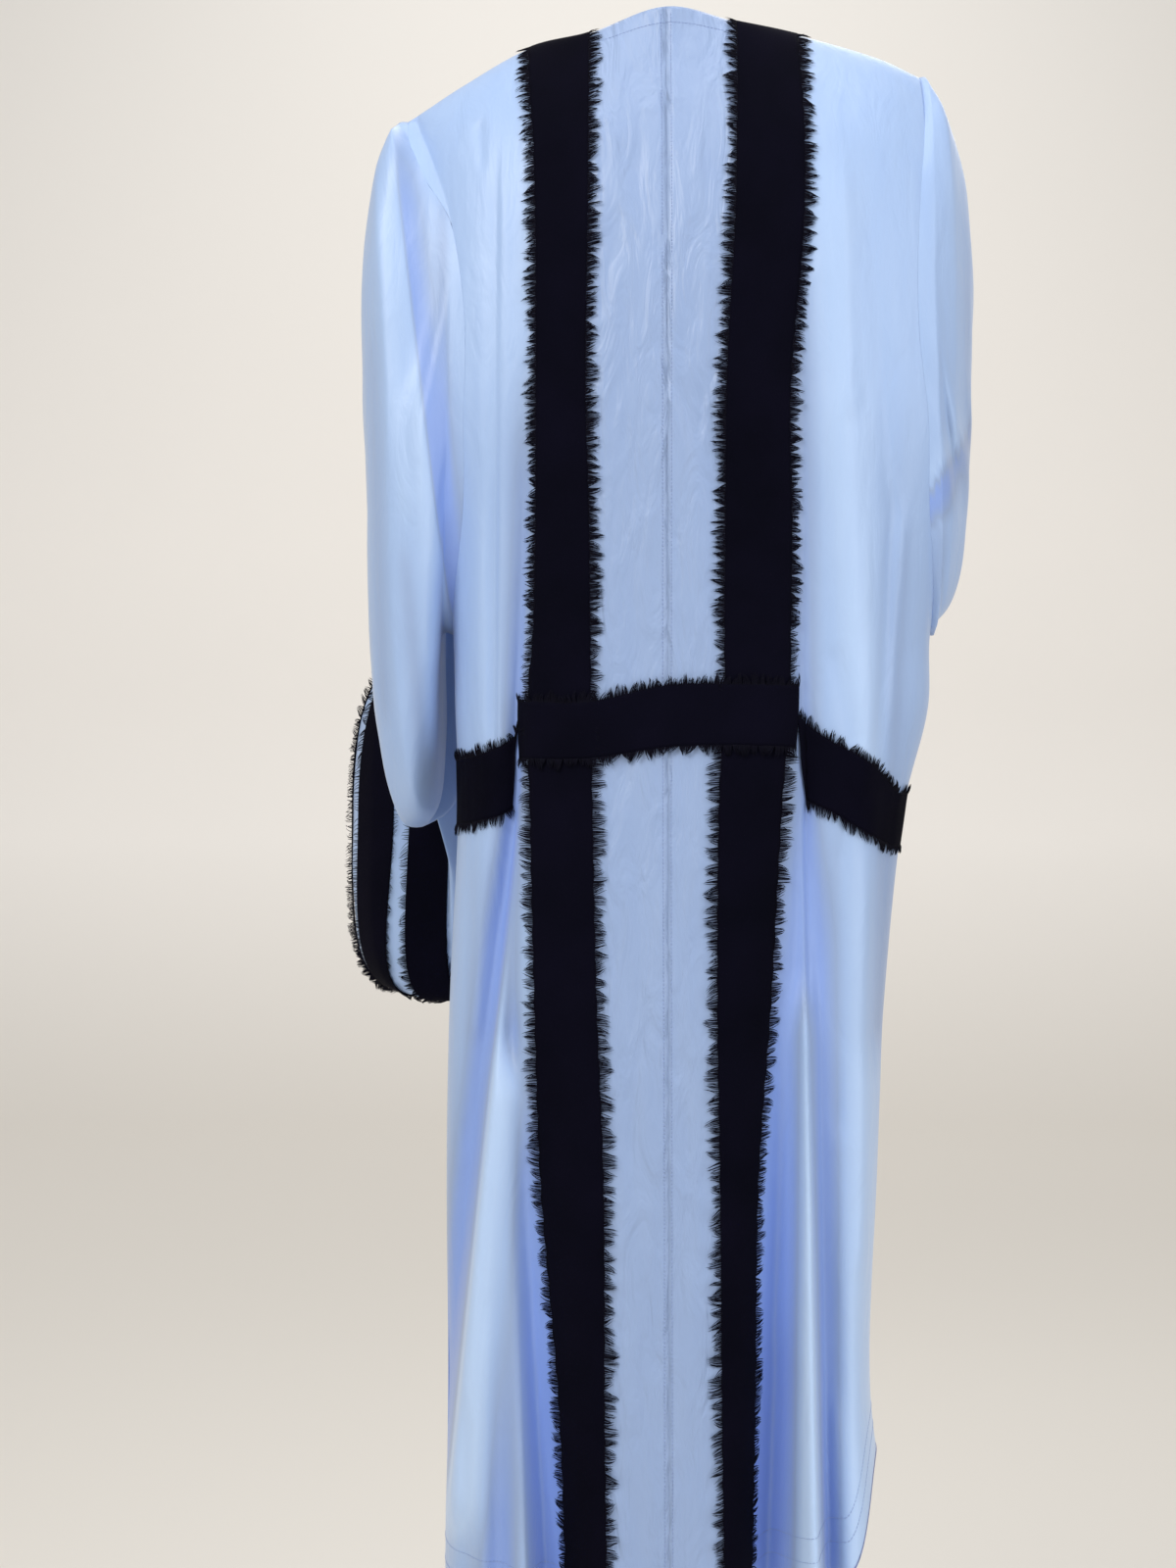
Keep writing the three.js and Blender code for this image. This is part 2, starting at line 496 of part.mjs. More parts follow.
const sleeves = {};
for (const [side, table, folds] of [[-1, LEFT_SLEEVE, LEFT_SLEEVE_FOLDS], [1, RIGHT_SLEEVE, []]]) {
  const place = (r, k) => sleevePoint(side, table, folds, r, k);
  sleeves[side] = makeGrid(table.length + 1, RING, side, true, place);
}

const bodyGrids = [backs[-1], backs[1], fronts[-1], fronts[1], sleeves[-1], sleeves[1]];
shareNormals(bodyGrids);
for (const side of [-1, 1]) {
  const { points, normals } = backs[side];
  for (let c = BAND_IN + 1; c < LAST; c += 2) {
    normals[c] = normals[c - 1].clone().add(normals[c + 1]).normalize();
  }
  for (const grid of [backs[side], fronts[side]]) {
    for (const border of ["first", "top"]) drawIn(grid, border);
  }
  drawIn(backs[side], "last");
  drawIn(fronts[side], "last", 0.5);
  drawIn(sleeves[side], "top", 0.75);
  const word = side < 0 ? "left" : "right";
  root.add(wall("back_" + word, backs[side], CLOTH, blueLift, satin));
  root.add(wall("front_" + word, fronts[side], CLOTH, blueLift, satin));
  root.add(wall("sleeve_" + word, sleeves[side], CLOTH, blueLift, satin));
}

// Bands of the back, with a fringe along each long edge
for (const side of [-1, 1]) {
  const word = side < 0 ? "left" : "right";
  const panel = backs[side];
  const strip = makeGrid(ROWS, BAND_OUT - BAND_IN + 1, -side, false, (r, c) =>
    panel.points[index(panel, r, BAND_IN + c)],
  );
  strip.normals = strip.points.map((p, id) => {
    const r = Math.floor(id / strip.columns);
    return panel.normals[index(panel, r, BAND_IN + (id % strip.columns))];
  });
  root.add(wall("band_" + word, strip, CLOTH, () => onBlue, black));
  for (const [edge, column, way] of [["inner", BAND_IN, -1], ["outer", BAND_OUT, 1]]) {
    const place = (s) => {
      const here = onGrid(panel, s, column);
      const there = onGrid(panel, s, column + way);
      return { p: here.p, n: here.n, out: there.p.sub(here.p).normalize() };
    };
    const knots = panel.points.slice(0, ROWS).map((p, r) => (r ? r : 0.4));
    const path = fringePath(lockStops(knots, place, 1), place, () => fringeLift);
    root.add(fringe("fringe_band_" + word + "_" + edge, path, false, black));
  }
}

// Belt: a centre piece over both bands and a piece to each side seam, on the backs' points
function beltGrid(stops, table) {
  const point = (row, stop) => {
    const panel = backs[stop.side];
    const x = onGrid(panel, UNDERARM_ROW + 2, stop.column).p.x;
    const z = mix(along(table, "x", "top", x), along(table, "x", "bottom", x), row / (BELT_ROWS - 1));
    return onGrid(panel, rowAt(panel, stop.column, z), stop.column);
  };
  const grid = makeGrid(BELT_ROWS, stops.length, 1, false, (r, c) => point(r, stops[c]).p);
  grid.normals = grid.points.map((p, id) => point(Math.floor(id / stops.length), stops[id % stops.length]).n);
  return grid;
}

const beltColumns = (side, columns) => columns.map((column) => ({ side, column }));
const sideColumns = [BELT_END + 0.08, 6.4, 7, 8, 9, 10, 11, 12, 13, 14, LAST - 0.02];
const sideLift = (c) => mix(onBand, onBlue + 0.4, smooth((sideColumns[c] - BELT_END) / 2.5));
const belts = [
  {
    name: "centre",
    table: BELT_CENTRE,
    stops: [...beltColumns(-1, [BELT_END, 5, 4, 3, 2, 1]), ...beltColumns(1, [0, 1, 2, 3, 4, 5, BELT_END])],
    lift: () => onBand,
    every: 1,
  },
  { name: "left", table: BELT_LEFT, stops: beltColumns(-1, sideColumns), lift: sideLift, every: 2 },
  { name: "right", table: BELT_RIGHT, stops: beltColumns(1, sideColumns), lift: sideLift, every: 2 },
];
for (const { name, table, stops, lift, every } of belts) {
  const grid = beltGrid(stops, table);
  root.add(wall("belt_" + name, grid, CLOTH, lift, black));
  for (const [edge, row, way] of [["top", 0, -1], ["bottom", BELT_ROWS - 1, 1]]) {
    const place = (c) => {
      const here = onGrid(grid, row, c);
      return { p: here.p, n: here.n, out: here.p.clone().sub(onGrid(grid, row - way, c).p).normalize() };
    };
    const knots = stops.map((stop, c) => c);
    const path = fringePath(lockStops(knots, place, every), place, (c) => mixAt(lift, c));
    root.add(fringe("fringe_belt_" + name + "_" + edge, path, false, black));
  }
}

// Sleeve ends: three bands round each sleeve, with a fringe along both edges of each
for (const side of [-1, 1]) {
  const sleeve = sleeves[side];
  const word = side < 0 ? "left" : "right";
  for (const { name, from, to } of SLEEVE_BANDS) {
    const id = (r, k) => index(sleeve, from + r, k);
    const ring = makeGrid(to - from + 1, RING, side, true, (r, k) => sleeve.points[id(r, k)]);
    ring.normals = ring.points.map((p, n) => sleeve.normals[id(Math.floor(n / RING), n % RING)]);
    root.add(wall("band_sleeve_" + word + "_" + name, ring, CLOTH, () => onBlue, black));
    const last = to === sleeve.rows - 1;
    const place = (k) => {
      const here = onGrid(sleeve, to, k);
      const out = onGrid(sleeve, last ? to - 1 : to + 1, k).p.sub(here.p).multiplyScalar(last ? -1 : 1);
      return { p: here.p, n: here.n, room: last ? 2 * LOCK_REACH : out.length(), out: out.normalize() };
    };
    const knots = Array.from({ length: RING + 1 }, (unused, k) => k);
    const path = fringePath(lockStops(knots, place, 2), place, () => fringeLift, 3 * SEAM_GAP).slice(0, -1);
    root.add(fringe("fringe_sleeve_" + word + "_" + name, path, true, black));
  }
}

export default root;
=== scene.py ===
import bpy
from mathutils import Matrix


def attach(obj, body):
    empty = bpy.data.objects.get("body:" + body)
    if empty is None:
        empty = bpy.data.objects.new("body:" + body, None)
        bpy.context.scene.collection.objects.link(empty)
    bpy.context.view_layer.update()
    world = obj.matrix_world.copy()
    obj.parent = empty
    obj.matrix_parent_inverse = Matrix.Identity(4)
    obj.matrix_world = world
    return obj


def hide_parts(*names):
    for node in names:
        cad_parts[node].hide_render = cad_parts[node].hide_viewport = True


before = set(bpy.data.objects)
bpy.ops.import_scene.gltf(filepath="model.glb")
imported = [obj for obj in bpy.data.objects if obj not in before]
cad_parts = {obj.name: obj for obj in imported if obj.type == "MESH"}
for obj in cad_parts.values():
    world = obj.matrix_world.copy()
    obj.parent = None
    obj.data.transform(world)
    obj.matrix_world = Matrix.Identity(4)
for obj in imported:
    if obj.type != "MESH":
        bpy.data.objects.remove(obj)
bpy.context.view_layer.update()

import math

import bpy
import numpy as np

# Camera
# It stands 2.4 m behind the robe, level with the hips and looking straight at it, so that
# an image of 1200 by 1600 shows the robe from its neck to below the shins.
SENSOR = 36
FOCAL_LENGTH = 2599  # in pixels of the image
IMAGE_WIDTH = 1200
camera = bpy.data.objects.new("camera", bpy.data.cameras.new("camera"))
bpy.context.scene.collection.objects.link(camera)
camera.location = (-0.072, -2.410, -0.681)
camera.rotation_euler = (math.pi / 2, 0, 0)
camera.data.sensor_fit = "HORIZONTAL"
camera.data.sensor_width = SENSOR
camera.data.lens = SENSOR * FOCAL_LENGTH / IMAGE_WIDTH
bpy.context.scene.camera = camera

# Back panels
# Two halves of the back in pale blue satin, joined by a seam down the centre. They hang
# from the shoulder seams, and loose folds deepen below the belt towards the hem.
# All lengths are in millimetres until a mesh is made.
UNDERARM = -540
HEM = -1450
ARMHOLE_HALF = 78
SHOULDER_ROUND = 115
SHOULDER_LEVEL = 40.0
CORNER = 2.5  # squareness of the body's section
NECK_DROP = 150
FRONT_NECK_Y = 62
BAND_MARGIN = 13
BAND_IN, BAND_OUT, LAST = 3, 5, 15  # columns of the band's two edges and of the side
UPPER_ROWS = (0, 0.03, 0.07, 0.125, 0.2, 0.3, 0.42, 0.56, 0.7, 0.82, 0.92, 1)

# height, half width left and right, depth back and front, band edges left to right
LEVELS = np.array([
    (40, 240, 240, 56, 60, -127, -71, 66, 124),
    (-150, 226, 277, 100, 88, -120, -72, 62, 125),
    (-320, 230, 292, 110, 100, -119, -74, 53, 111),
    (-440, 207, 266, 110, 103, -119, -71, 52, 112),
    (-540, 199, 250, 110, 105, -121, -70, 51, 111),
    (-610, 197, 248, 111, 106, -126, -69, 51, 110),
    (-700, 194, 226, 115, 110, -124, -68, 46, 103),
    (-880, 202, 207, 126, 118, -120, -64, 44, 92),
    (-1040, 205, 199, 134, 124, -114, -58, 46, 80),
    (-1240, 204, 192, 144, 132, -97, -57, 47, 77),
    (-1400, 206, 211, 152, 140, -91, -55, 49, 74),
    (-1450, 206, 202, 154, 142, -91, -55, 49, 74),
], float)
LEFT, RIGHT, BACK, FRONT, LO, LI, RI, RO = range(1, 9)

# x, height and y of the back's top edge: shoulder tip, shoulder seam and neck
TOP = np.array([
    (-242, -55, 0), (-192, -23, 0), (-127, 12, -6), (-71, 20, -30), (0, 37, -58),
    (66, 31, -30), (124, 25, -6), (203, 4, 0), (241, -13, 0),
], float)

# Folds: x and height of both ends, depth at both ends (over 0 is a trough), and the width
# towards the centre of the back and towards the side
BACK_FOLDS = (
    (-131, -330, -142, -900, 5, 16, 10, 14),
    (-134, -860, -107, -1450, 0, 52, 30, 13),
    (-140, -1080, -128, -1450, 0, -12, 8, 16),
    (-134, -760, -196, -1330, -4, -20, 26, 9),
    (-150, -760, -214, -1330, 10, 22, 9, 16),
    (-140, -980, -150, -1450, 0, 22, 20, 20),
    (144, -100, 182, -660, -5, -9, 20, 24),
    (125, -180, 122, -840, 4, 12, 10, 14),
    (216, -330, 196, -900, 0, 10, 14, 16),
    (190, -700, 170, -1450, -4, -20, 24, 22),
    (124, -760, 133, -1450, -3, -22, 18, 8),
    (139, -760, 148, -1450, 10, 24, 8, 18),
    (116, -700, 89, -1450, 4, 60, 22, 17),
)

# Small creases of the satin, in the same columns
BACK_CREASES = (
    (-172, -70, -169, -112, 3, 1, 5, 6),
    (-36, -100, -18, -196, 1.6, 0.8, 9, 14),
    (-62, -60, -44, -150, -1.4, -0.6, 8, 10),
    (17, -322, 56, -470, 1.8, 1.2, 9, 15),
    (-50, -300, -20, -420, 1.0, 1.4, 10, 14),
    (-12, -470, -30, -570, 1.2, 0.6, 12, 12),
    (30, -520, 44, -580, -1.6, -0.8, 9, 9),
    (217, -440, 203, -670, -4.5, -3, 6, 7),
    (206, -430, 192, -640, 2.5, 2, 5, 6),
    (162, -120, 166, -330, -2, -3, 7, 9),
    (184, -150, 205, -420, 2.2, 3, 8, 10),
    (150, -560, 168, -640, 2, 2.4, 8, 10),
    (-158, -200, -150, -620, 1.4, 3, 7, 9),
    (-176, -260, -168, -640, -1.8, -2.4, 7, 8),
    (-28, -700, -34, -1000, 1.2, 1.6, 14, 10),
    (10, -690, 18, -900, -1.4, -1, 10, 12),
    (-8, -1050, -22, -1440, 2.0, 2.6, 16, 12),
    (22, -1100, 26, -1440, -1.8, -2.2, 10, 14),
    (-44, -1010, -38, -1240, -1.6, -1.2, 8, 8),
    (-168, -730, -176, -900, -2.4, -3, 8, 8),
    (-182, -760, -184, -1000, 3, 3, 7, 7),
    (-160, -1180, -168, -1450, -3, -5, 8, 8),
    (-186, -1240, -182, -1450, 4, 6, 8, 8),
    (160, -720, 156, -980, 2.6, 3, 8, 8),
    (184, -760, 178, -1100, -3, -4, 8, 9),
    (196, -1180, 196, -1450, 4, 5, 8, 8),
    (152, -1240, 160, -1450, -4, -6, 8, 9),
    (-150, -120, -153, -620, -1.4, -2.6, 8, 3),
    (-155, -130, -158, -620, 1.6, 3.4, 3, 9),
    (-33, -130, 30, -260, 1.2, 1.0, 4, 9),
    (-40, -210, -62, -330, -1.2, -0.8, 5, 8),
    (48, -230, 22, -390, 1.2, 1.4, 4, 8),
    (-20, -620, -46, -700, 1.4, 1.0, 5, 8),
    (-46, -820, -18, -930, 1.2, 1.2, 5, 9),
    (34, -1180, 12, -1300, 1.4, 1.6, 5, 9),
    (-40, -1300, -10, -1400, 1.4, 1.4, 5, 9),
)

# Sharp creases beside the bands, whose troughs also get painted shade in the satin's colour
SHADED_CREASES = (
    (112, -900, 104, -1180, -2, -3, 6, 6),
    (121, -640, 132, -1450, -2, -5, 9, 2.2),
    (125.5, -640, 137.5, -1450, 4, 9, 2.6, 10),
    (-127, -650, -194, -1300, -3, -6, 10, 2.2),
    (-131.5, -650, -199.5, -1300, 5, 12, 2.6, 12),
    (-124, -380, -137, -640, 2, 5, 3, 8),
)


def curve(rows, by, key, at):
    """Column key at each place `at` in column by: a cubic whose slope at a row is that of the
    line between its neighbours."""
    x, y = rows[:, by], rows[:, key]
    if x[0] > x[-1]:
        x, y = x[::-1], y[::-1]
    slope = np.empty(len(x))
    slope[1:-1] = (y[2:] - y[:-2]) / (x[2:] - x[:-2])
    slope[0], slope[-1] = (y[1] - y[0]) / (x[1] - x[0]), (y[-1] - y[-2]) / (x[-1] - x[-2])
    at = np.clip(at, x[0], x[-1])
    k = np.clip(np.searchsorted(x, at, side="right") - 1, 0, len(x) - 2)
    span = x[k + 1] - x[k]
    f = (at - x[k]) / span
    return (
        y[k] * (1 + 2 * f) * (1 - f) ** 2 + y[k + 1] * f * f * (3 - 2 * f)
        + span * (slope[k] * f * (1 - f) ** 2 - slope[k + 1] * f * f * (1 - f))
    )


def smooth(f):
    """0 below 0, 1 above 1, and three squares less two cubes between."""
    f = np.clip(f, 0, 1)
    return f * f * (3 - 2 * f)


def fold_depth(folds, x, z):
    """Sum over the folds of depth times exp(-(distance / width) squared), faded at both ends."""
    depth = np.zeros(np.broadcast(x, z).shape)
    for x0, z0, x1, z1, d0, d1, inner, outer in folds:
        f = (z - z0) / (z1 - z0)
        fade = smooth((f + 0.12) / 0.24) * smooth((1.12 - f) / 0.12)
        off = (x - (x0 + (x1 - x0) * f)) * np.sign(x0)
        width = np.where(off < 0, inner, outer)
        depth = depth + (d0 + (d1 - d0) * np.clip(f, 0, 1)) * fade * np.exp(-((off / width) ** 2))
    return depth


def unevenness(x, z):
    """A low sum of slanted sine waves, 20 to 140 mm long, so that no surface is dead smooth."""
    return (
        0.55 * np.sin(x / 17 + 0.8 * np.sin(z / 61)) * np.sin(z / 83 + x / 90)
        + 0.35 * np.sin(x / 9.5 + z / 70 + 1.3) * np.sin(z / 41 + 0.4)
        + 0.9 * np.sin(x / 46 + 2.1) * np.sin(z / 128 + 0.9)
    )


def puckers(side, x, z):
    """Small pulls of the cloth beside a band's inner edge: a sine down the edge that fades away from it."""
    edge = curve(LEVELS, 0, LI if side < 0 else RI, z)
    away = np.abs(x - edge + side * 6)
    strength = 0.35 + 0.9 * smooth((-950 - z) / 120) * smooth((z + 1420) / 120)
    return strength * np.sin(z / 5.2 + 1.4 * np.sin(z / 37)) * np.exp(-((away / 9) ** 2))


def armhole_half(side, z):
    """Half opening of the armhole: 78 mm times the sine of its share of the height to a power."""
    tip = TOP[0 if side < 0 else -1, 1]
    f = np.clip((tip - z) / (tip - UNDERARM), 0, 1)
    return ARMHOLE_HALF * np.maximum(np.sin(math.pi * f), 0) ** 0.55


def column_x(side, column, z):
    """x of a column: even steps to the band, over it, and from it to the side on a part sine."""
    inner = np.abs(curve(LEVELS, 0, LI if side < 0 else RI, z))
    outer = np.abs(curve(LEVELS, 0, LO if side < 0 else RO, z))
    end = np.abs(side_x(side, z))
    stops = [0 * inner, inner * 0.45, inner - BAND_MARGIN, inner]
    stops += [(inner + outer) / 2, outer, outer + BAND_MARGIN]
    k = np.clip(np.floor(column).astype(int), 0, 5)
    low = np.choose(k, stops[:6])
    high = np.choose(k, stops[1:7])
    within = low + (high - low) * (column - k)
    f = np.clip((column - 6) / 9, 0, 1)
    spread = 0.3 * f + 0.7 * np.sin(f * math.pi / 2)
    beyond = stops[6] + (end - stops[6]) * spread
    return side * np.where(column <= 6, within, beyond)


def superellipse(a, b, t):
    """The other half width of a superellipse, b (1 - (t / a) ^ corner) ^ (1 / corner)."""
    return b * np.maximum(1 - np.minimum(1, np.abs(t) / a) ** CORNER, 0) ** (1 / CORNER)


def side_x(side, z, depth=BACK):
    """x of the side at a height, where the section meets the armhole's edge."""
    upright = np.abs(TOP[0 if side < 0 else -1, 0])
    width = curve(LEVELS, 0, LEFT if side < 0 else RIGHT, z)
    at = superellipse(curve(LEVELS, 0, depth, z), width, armhole_half(side, z))
    return np.where(z > 30, upright, at)


def hem_height(x, back):
    """The hem rises towards both sides, far more at the right corner, and a little at the fronts."""
    right = 62 * smooth(x / 240) + 85 * smooth((x - 200) / 41)
    rise = np.where(x > 0, right, 14 * smooth(-x / 240))
    return HEM + rise + (0 if back else 14 * smooth(1 - np.abs(x) / 200))


def body(side, column, row, back=True):
    """A point of the body at a column and a row, 0 at the top edge, 1 at the underarm's height
    and 2 at the hem. The section is a superellipse, cut by the armhole, eased over the
    shoulder and pushed in by the folds."""
    column, row = np.broadcast_arrays(np.asarray(column, float), np.asarray(row, float))
    tip = abs(TOP[0 if side < 0 else -1, 0])
    f = np.clip((column - 6) / 9, 0, 1)
    top_x = column_x(side, column, np.full(column.shape, SHOULDER_LEVEL))
    top = curve(TOP, 0, 1, top_x)
    ridge = curve(TOP, 0, 2, top_x)
    if not back:
        neck = abs(LEVELS[0, LI if side < 0 else RI])
        into = np.clip(1 - np.abs(top_x) / neck, 0, 1)
        point = curve(TOP, 0, 1, np.array(side * neck, float))
        top = np.where(into > 0, point - NECK_DROP * np.sin(into * math.pi / 2) ** 0.9, top)
        turned = np.sin(into * math.pi / 2)
        start = curve(TOP, 0, 2, np.array(side * neck, float))
        ridge = np.where(into > 0, start + (FRONT_NECK_Y - start) * turned, ridge)
    hem = hem_height(top_x, back)
    z = np.where(row <= 1, top + (UNDERARM - top) * row, UNDERARM + (hem - UNDERARM) * (row - 1))
    width = curve(LEVELS, 0, LEFT if side < 0 else RIGHT, z)
    depth = curve(LEVELS, 0, BACK if back else FRONT, z)
    opening = armhole_half(side, z)
    fall = top - z
    ease = np.sqrt(1 - (1 - np.clip(fall / SHOULDER_ROUND, 0, 1)) ** 2)
    end = superellipse(depth, width, opening)
    inner = column_x(side, np.minimum(column, 6), z)
    reach = inner + (side * end - inner) * (0.3 * f + 0.7 * np.sin(f * math.pi / 2))
    x = top_x + (np.where(column <= 6, inner, reach) - top_x) * smooth(fall / SHOULDER_ROUND)
    full = np.maximum(opening, superellipse(width, depth, x))
    full = np.where(column >= LAST, opening, full)
    edge = smooth((full - opening) / 30)
    if back:
        pushed = fold_depth(BACK_FOLDS, x, z) + fold_depth(BACK_CREASES + SHADED_CREASES, x, z)
        pushed = pushed + unevenness(x, z) + puckers(side, x, z)
    else:
        pushed = fold_depth(FRONT_FOLDS, x, z) + 1.4 * unevenness(x + 300, z)
    pushed = full - pushed * edge * ease
    y = np.where(back, ridge + (-pushed - ridge) * ease, ridge + (pushed - ridge) * ease)
    return np.stack([x, y, z], -1)


def unit(v):
    """Each vector over its length."""
    return v / np.maximum(np.linalg.norm(v, axis=-1, keepdims=True), 1e-9)


def normals_of(shape, u, v):
    """The unit normal of shape(u, v): the cross product of its two small differences."""
    du, dv = 0.04, 0.003
    across = shape(u + du, v) - shape(u - du, v)
    down = shape(u, v + dv) - shape(u, v - dv)
    return unit(np.cross(down, across))


def panel(side, column, row, back=True):
    """Points of one half of the back or front, and their outward normals."""
    def shape(c, r):
        return body(side, c, np.clip(r, 0, 2), back)

    normal = normals_of(shape, np.clip(column, 0.05, LAST - 0.05), np.clip(row, 0.004, 1.996))
    normal *= np.sign(normal[..., 1:2].mean()) * (-1 if back else 1)
    return shape(column, row), normal


def mesh_of(name, points, faces, values=None):
    """An object from points in mm and an array of faces with 3 or 4 corners each; values
    become attributes."""
    mesh = bpy.data.meshes.new(name)
    mesh.vertices.add(len(points))
    mesh.vertices.foreach_set("co", np.ascontiguousarray(points / 1000, np.float32).ravel())
    count, corners = faces.shape
    mesh.loops.add(count * corners)
    mesh.loops.foreach_set("vertex_index", np.ascontiguousarray(faces, np.int32).ravel())
    mesh.polygons.add(count)
    mesh.polygons.foreach_set("loop_start", np.arange(0, count * corners, corners, dtype=np.int32))
    mesh.polygons.foreach_set("use_smooth", np.full(count, True))
    for key, value in (values or {}).items():
        attribute = mesh.attributes.new(key, "FLOAT", "POINT")
        attribute.data.foreach_set("value", np.ascontiguousarray(value, np.float32))
    mesh.update(calc_edges=True)
    mesh.validate()
    item = bpy.data.objects.new(name, mesh)
    bpy.context.scene.collection.objects.link(item)
    return item


def shell(name, points, normals, half, closed=False, values=None):
    """A thin closed sheet on a grid of points: every point moved out and in by half, with rims
    round its borders."""
    rows, columns = points.shape[:2]
    flat = points.reshape(-1, 3)
    out = normals.reshape(-1, 3) * half
    count = rows * columns
    ids = np.arange(count).reshape(rows, columns)
    right = np.roll(ids, -1, 1) if closed else ids[:, 1:]
    left = ids if closed else ids[:, :-1]
    a, b, c, d = left[:-1], right[:-1], right[1:], left[1:]
    face = np.stack([a, b, c, d], -1).reshape(-1, 4)
    edge_a = flat[face[:, 1]] - flat[face[:, 0]]
    edge_b = flat[face[:, 3]] - flat[face[:, 0]]
    facing = np.einsum("ij,ij->i", np.cross(edge_a, edge_b), out[face[:, 0]]).sum() > 0
    face = face if facing else face[:, ::-1]
    parts = [face, face[:, ::-1] + count]
    borders = [(left[0], right[0]), (right[-1], left[-1])]
    if not closed:
        borders += [(ids[1:, 0], ids[:-1, 0]), (ids[:-1, -1], ids[1:, -1])]
    for near, far in borders:
        rim = np.stack([near, near + count, far + count, far], -1).reshape(-1, 4)
        parts.append(rim if facing else rim[:, ::-1])
    values = {k: np.concatenate([v.ravel(), v.ravel()]) for k, v in (values or {}).items()}
    both = np.concatenate([flat + out, flat - out])
    return mesh_of(name, both, np.concatenate(parts), values)


def linear(code, alpha=1.0):
    """A colour written as sRGB hex, turned to linear light."""
    parts = [int(code[k:k + 2], 16) / 255 for k in (1, 3, 5)]
    return tuple(p / 12.92 if p <= 0.04045 else ((p + 0.055) / 1.055) ** 2.4 for p in parts) + (alpha,)


def add(tree, kind, links=None, **settings):
    """Adds one node: settings are its properties, or values of its inputs with _ for a space;
    links join sockets to inputs."""
    node = tree.nodes.new(kind)
    for key, value in settings.items():
        if hasattr(node, key):
            setattr(node, key, value)
        else:
            node.inputs[key.replace("_", " ")].default_value = value
    for key, socket in (links or {}).items():
        tree.links.new(socket, node.inputs[key])
    return node


def new_material(name):
    """An empty material with its node tree and output."""
    item = bpy.data.materials.new(name)
    item.use_nodes = True
    item.node_tree.nodes.clear()
    return item, item.node_tree, item.node_tree.nodes.new("ShaderNodeOutputMaterial")


def set_ramp(node, *stops):
    """Gives a colour ramp its stops, each a place and an sRGB hex colour."""
    elements = node.color_ramp.elements
    for end in (0, -1):
        elements[end].position = stops[end][0]
        elements[end].color = linear(stops[end][1])
    for place, code in stops[1:-1]:
        elements.new(place).color = linear(code)


# Crepe-backed satin, woven from fine glossy threads: broad soft highlights, painted shade
# (a deeper, richer blue) in the troughs of folds and painted highlight (a paler blue) on
# their ridges, both from the attribute "depth", and a faint upright grain.
# Its weave of 0.25 mm is drawn at 1.2 mm, the finest that shows.
satin, tree, output = new_material("crepe_backed_satin")
place = add(tree, "ShaderNodeTexCoord")
stretch = add(tree, "ShaderNodeMapping", {"Vector": place.outputs["Object"]}, Scale=(60, 60, 6))
cloudy = add(tree, "ShaderNodeTexNoise", {"Vector": stretch.outputs["Vector"]}, Scale=1.0, Detail=3.0)
depth = add(tree, "ShaderNodeAttribute", attribute_name="depth")
# Painted shade and painted highlight: the attribute "depth" picks a paler blue on fold ridges (0), the plain
# blue (0.2) and deeper blues in fold troughs (towards 1).
ramp = add(tree, "ShaderNodeValToRGB", {"Fac": depth.outputs["Fac"]})
set_ramp(ramp, (0.0, "#BCD4F6"), (0.2, "#A6BFE6"), (0.36, "#98ADD2"), (0.6, "#8FA9E2"), (1.0, "#8AA7EA"))
tint = add(
    tree, "ShaderNodeMixRGB", {"Fac": cloudy.outputs["Fac"], "Color1": ramp.outputs["Color"]},
    blend_type="MULTIPLY", Color2=linear("#F1F5FC"))
weave_place = add(tree, "ShaderNodeMapping", {"Vector": place.outputs["Object"]}, Scale=(820, 820, 300))
weave = add(tree, "ShaderNodeTexNoise", {"Vector": weave_place.outputs["Vector"]}, Scale=1.0, Detail=2.0)
slub_place = add(tree, "ShaderNodeMapping", {"Vector": place.outputs["Object"]}, Scale=(90, 90, 14))
slub = add(tree, "ShaderNodeTexNoise", {"Vector": slub_place.outputs["Vector"]}, Scale=1.0, Detail=4.0)
fine = add(tree, "ShaderNodeBump", {"Height": weave.outputs["Fac"]}, Strength=0.10, Distance=0.0004)
soft = add(
    tree, "ShaderNodeBump", {"Height": slub.outputs["Fac"], "Normal": fine.outputs["Normal"]},
    Strength=0.22, Distance=0.002)
# Small ruffles, stronger where the attribute "crumple" is high
crumple = add(tree, "ShaderNodeAttribute", attribute_name="crumple")
lean_place = add(
    tree, "ShaderNodeMapping", {"Vector": place.outputs["Object"]},
    Rotation=(0, 0.5, 0), Scale=(42, 20, 13))
ruffle = add(
    tree, "ShaderNodeTexNoise", {"Vector": lean_place.outputs["Vector"]},
    Scale=1.0, Detail=3.0, Distortion=1.1)
amount = add(tree, "ShaderNodeMapRange", {"Value": crumple.outputs["Fac"]}, To_Min=0.16, To_Max=0.55)
links = {"Height": ruffle.outputs["Fac"], "Strength": amount.outputs["Result"]}
links["Normal"] = soft.outputs["Normal"]
ruffled = add(tree, "ShaderNodeBump", links, Distance=0.009)
gloss = add(tree, "ShaderNodeMapRange", {"Value": slub.outputs["Fac"]}, To_Min=0.34, To_Max=0.50)
links = {"Base Color": tint.outputs["Color"], "Roughness": gloss.outputs["Result"]}
links["Normal"] = ruffled.outputs["Normal"]
shader = add(
    tree, "ShaderNodeBsdfPrincipled", links,
    Specular_IOR_Level=0.5, IOR=1.5, Sheen_Weight=0.25, Sheen_Roughness=0.4)
tree.links.new(shader.outputs["BSDF"], output.inputs["Surface"])


def fold_shade_of(folds, points):
    """Attribute for painted shade and painted highlight in the satin's colour: 0.2 on plain
    cloth, up to 1 (painted shade) deep in a trough and down to 0 (painted highlight) on a ridge."""
    amount = fold_depth(folds, points[..., 0], points[..., 2])
    return np.clip(0.2 + np.where(amount > 0, amount / 34, amount / 50), 0, 1)


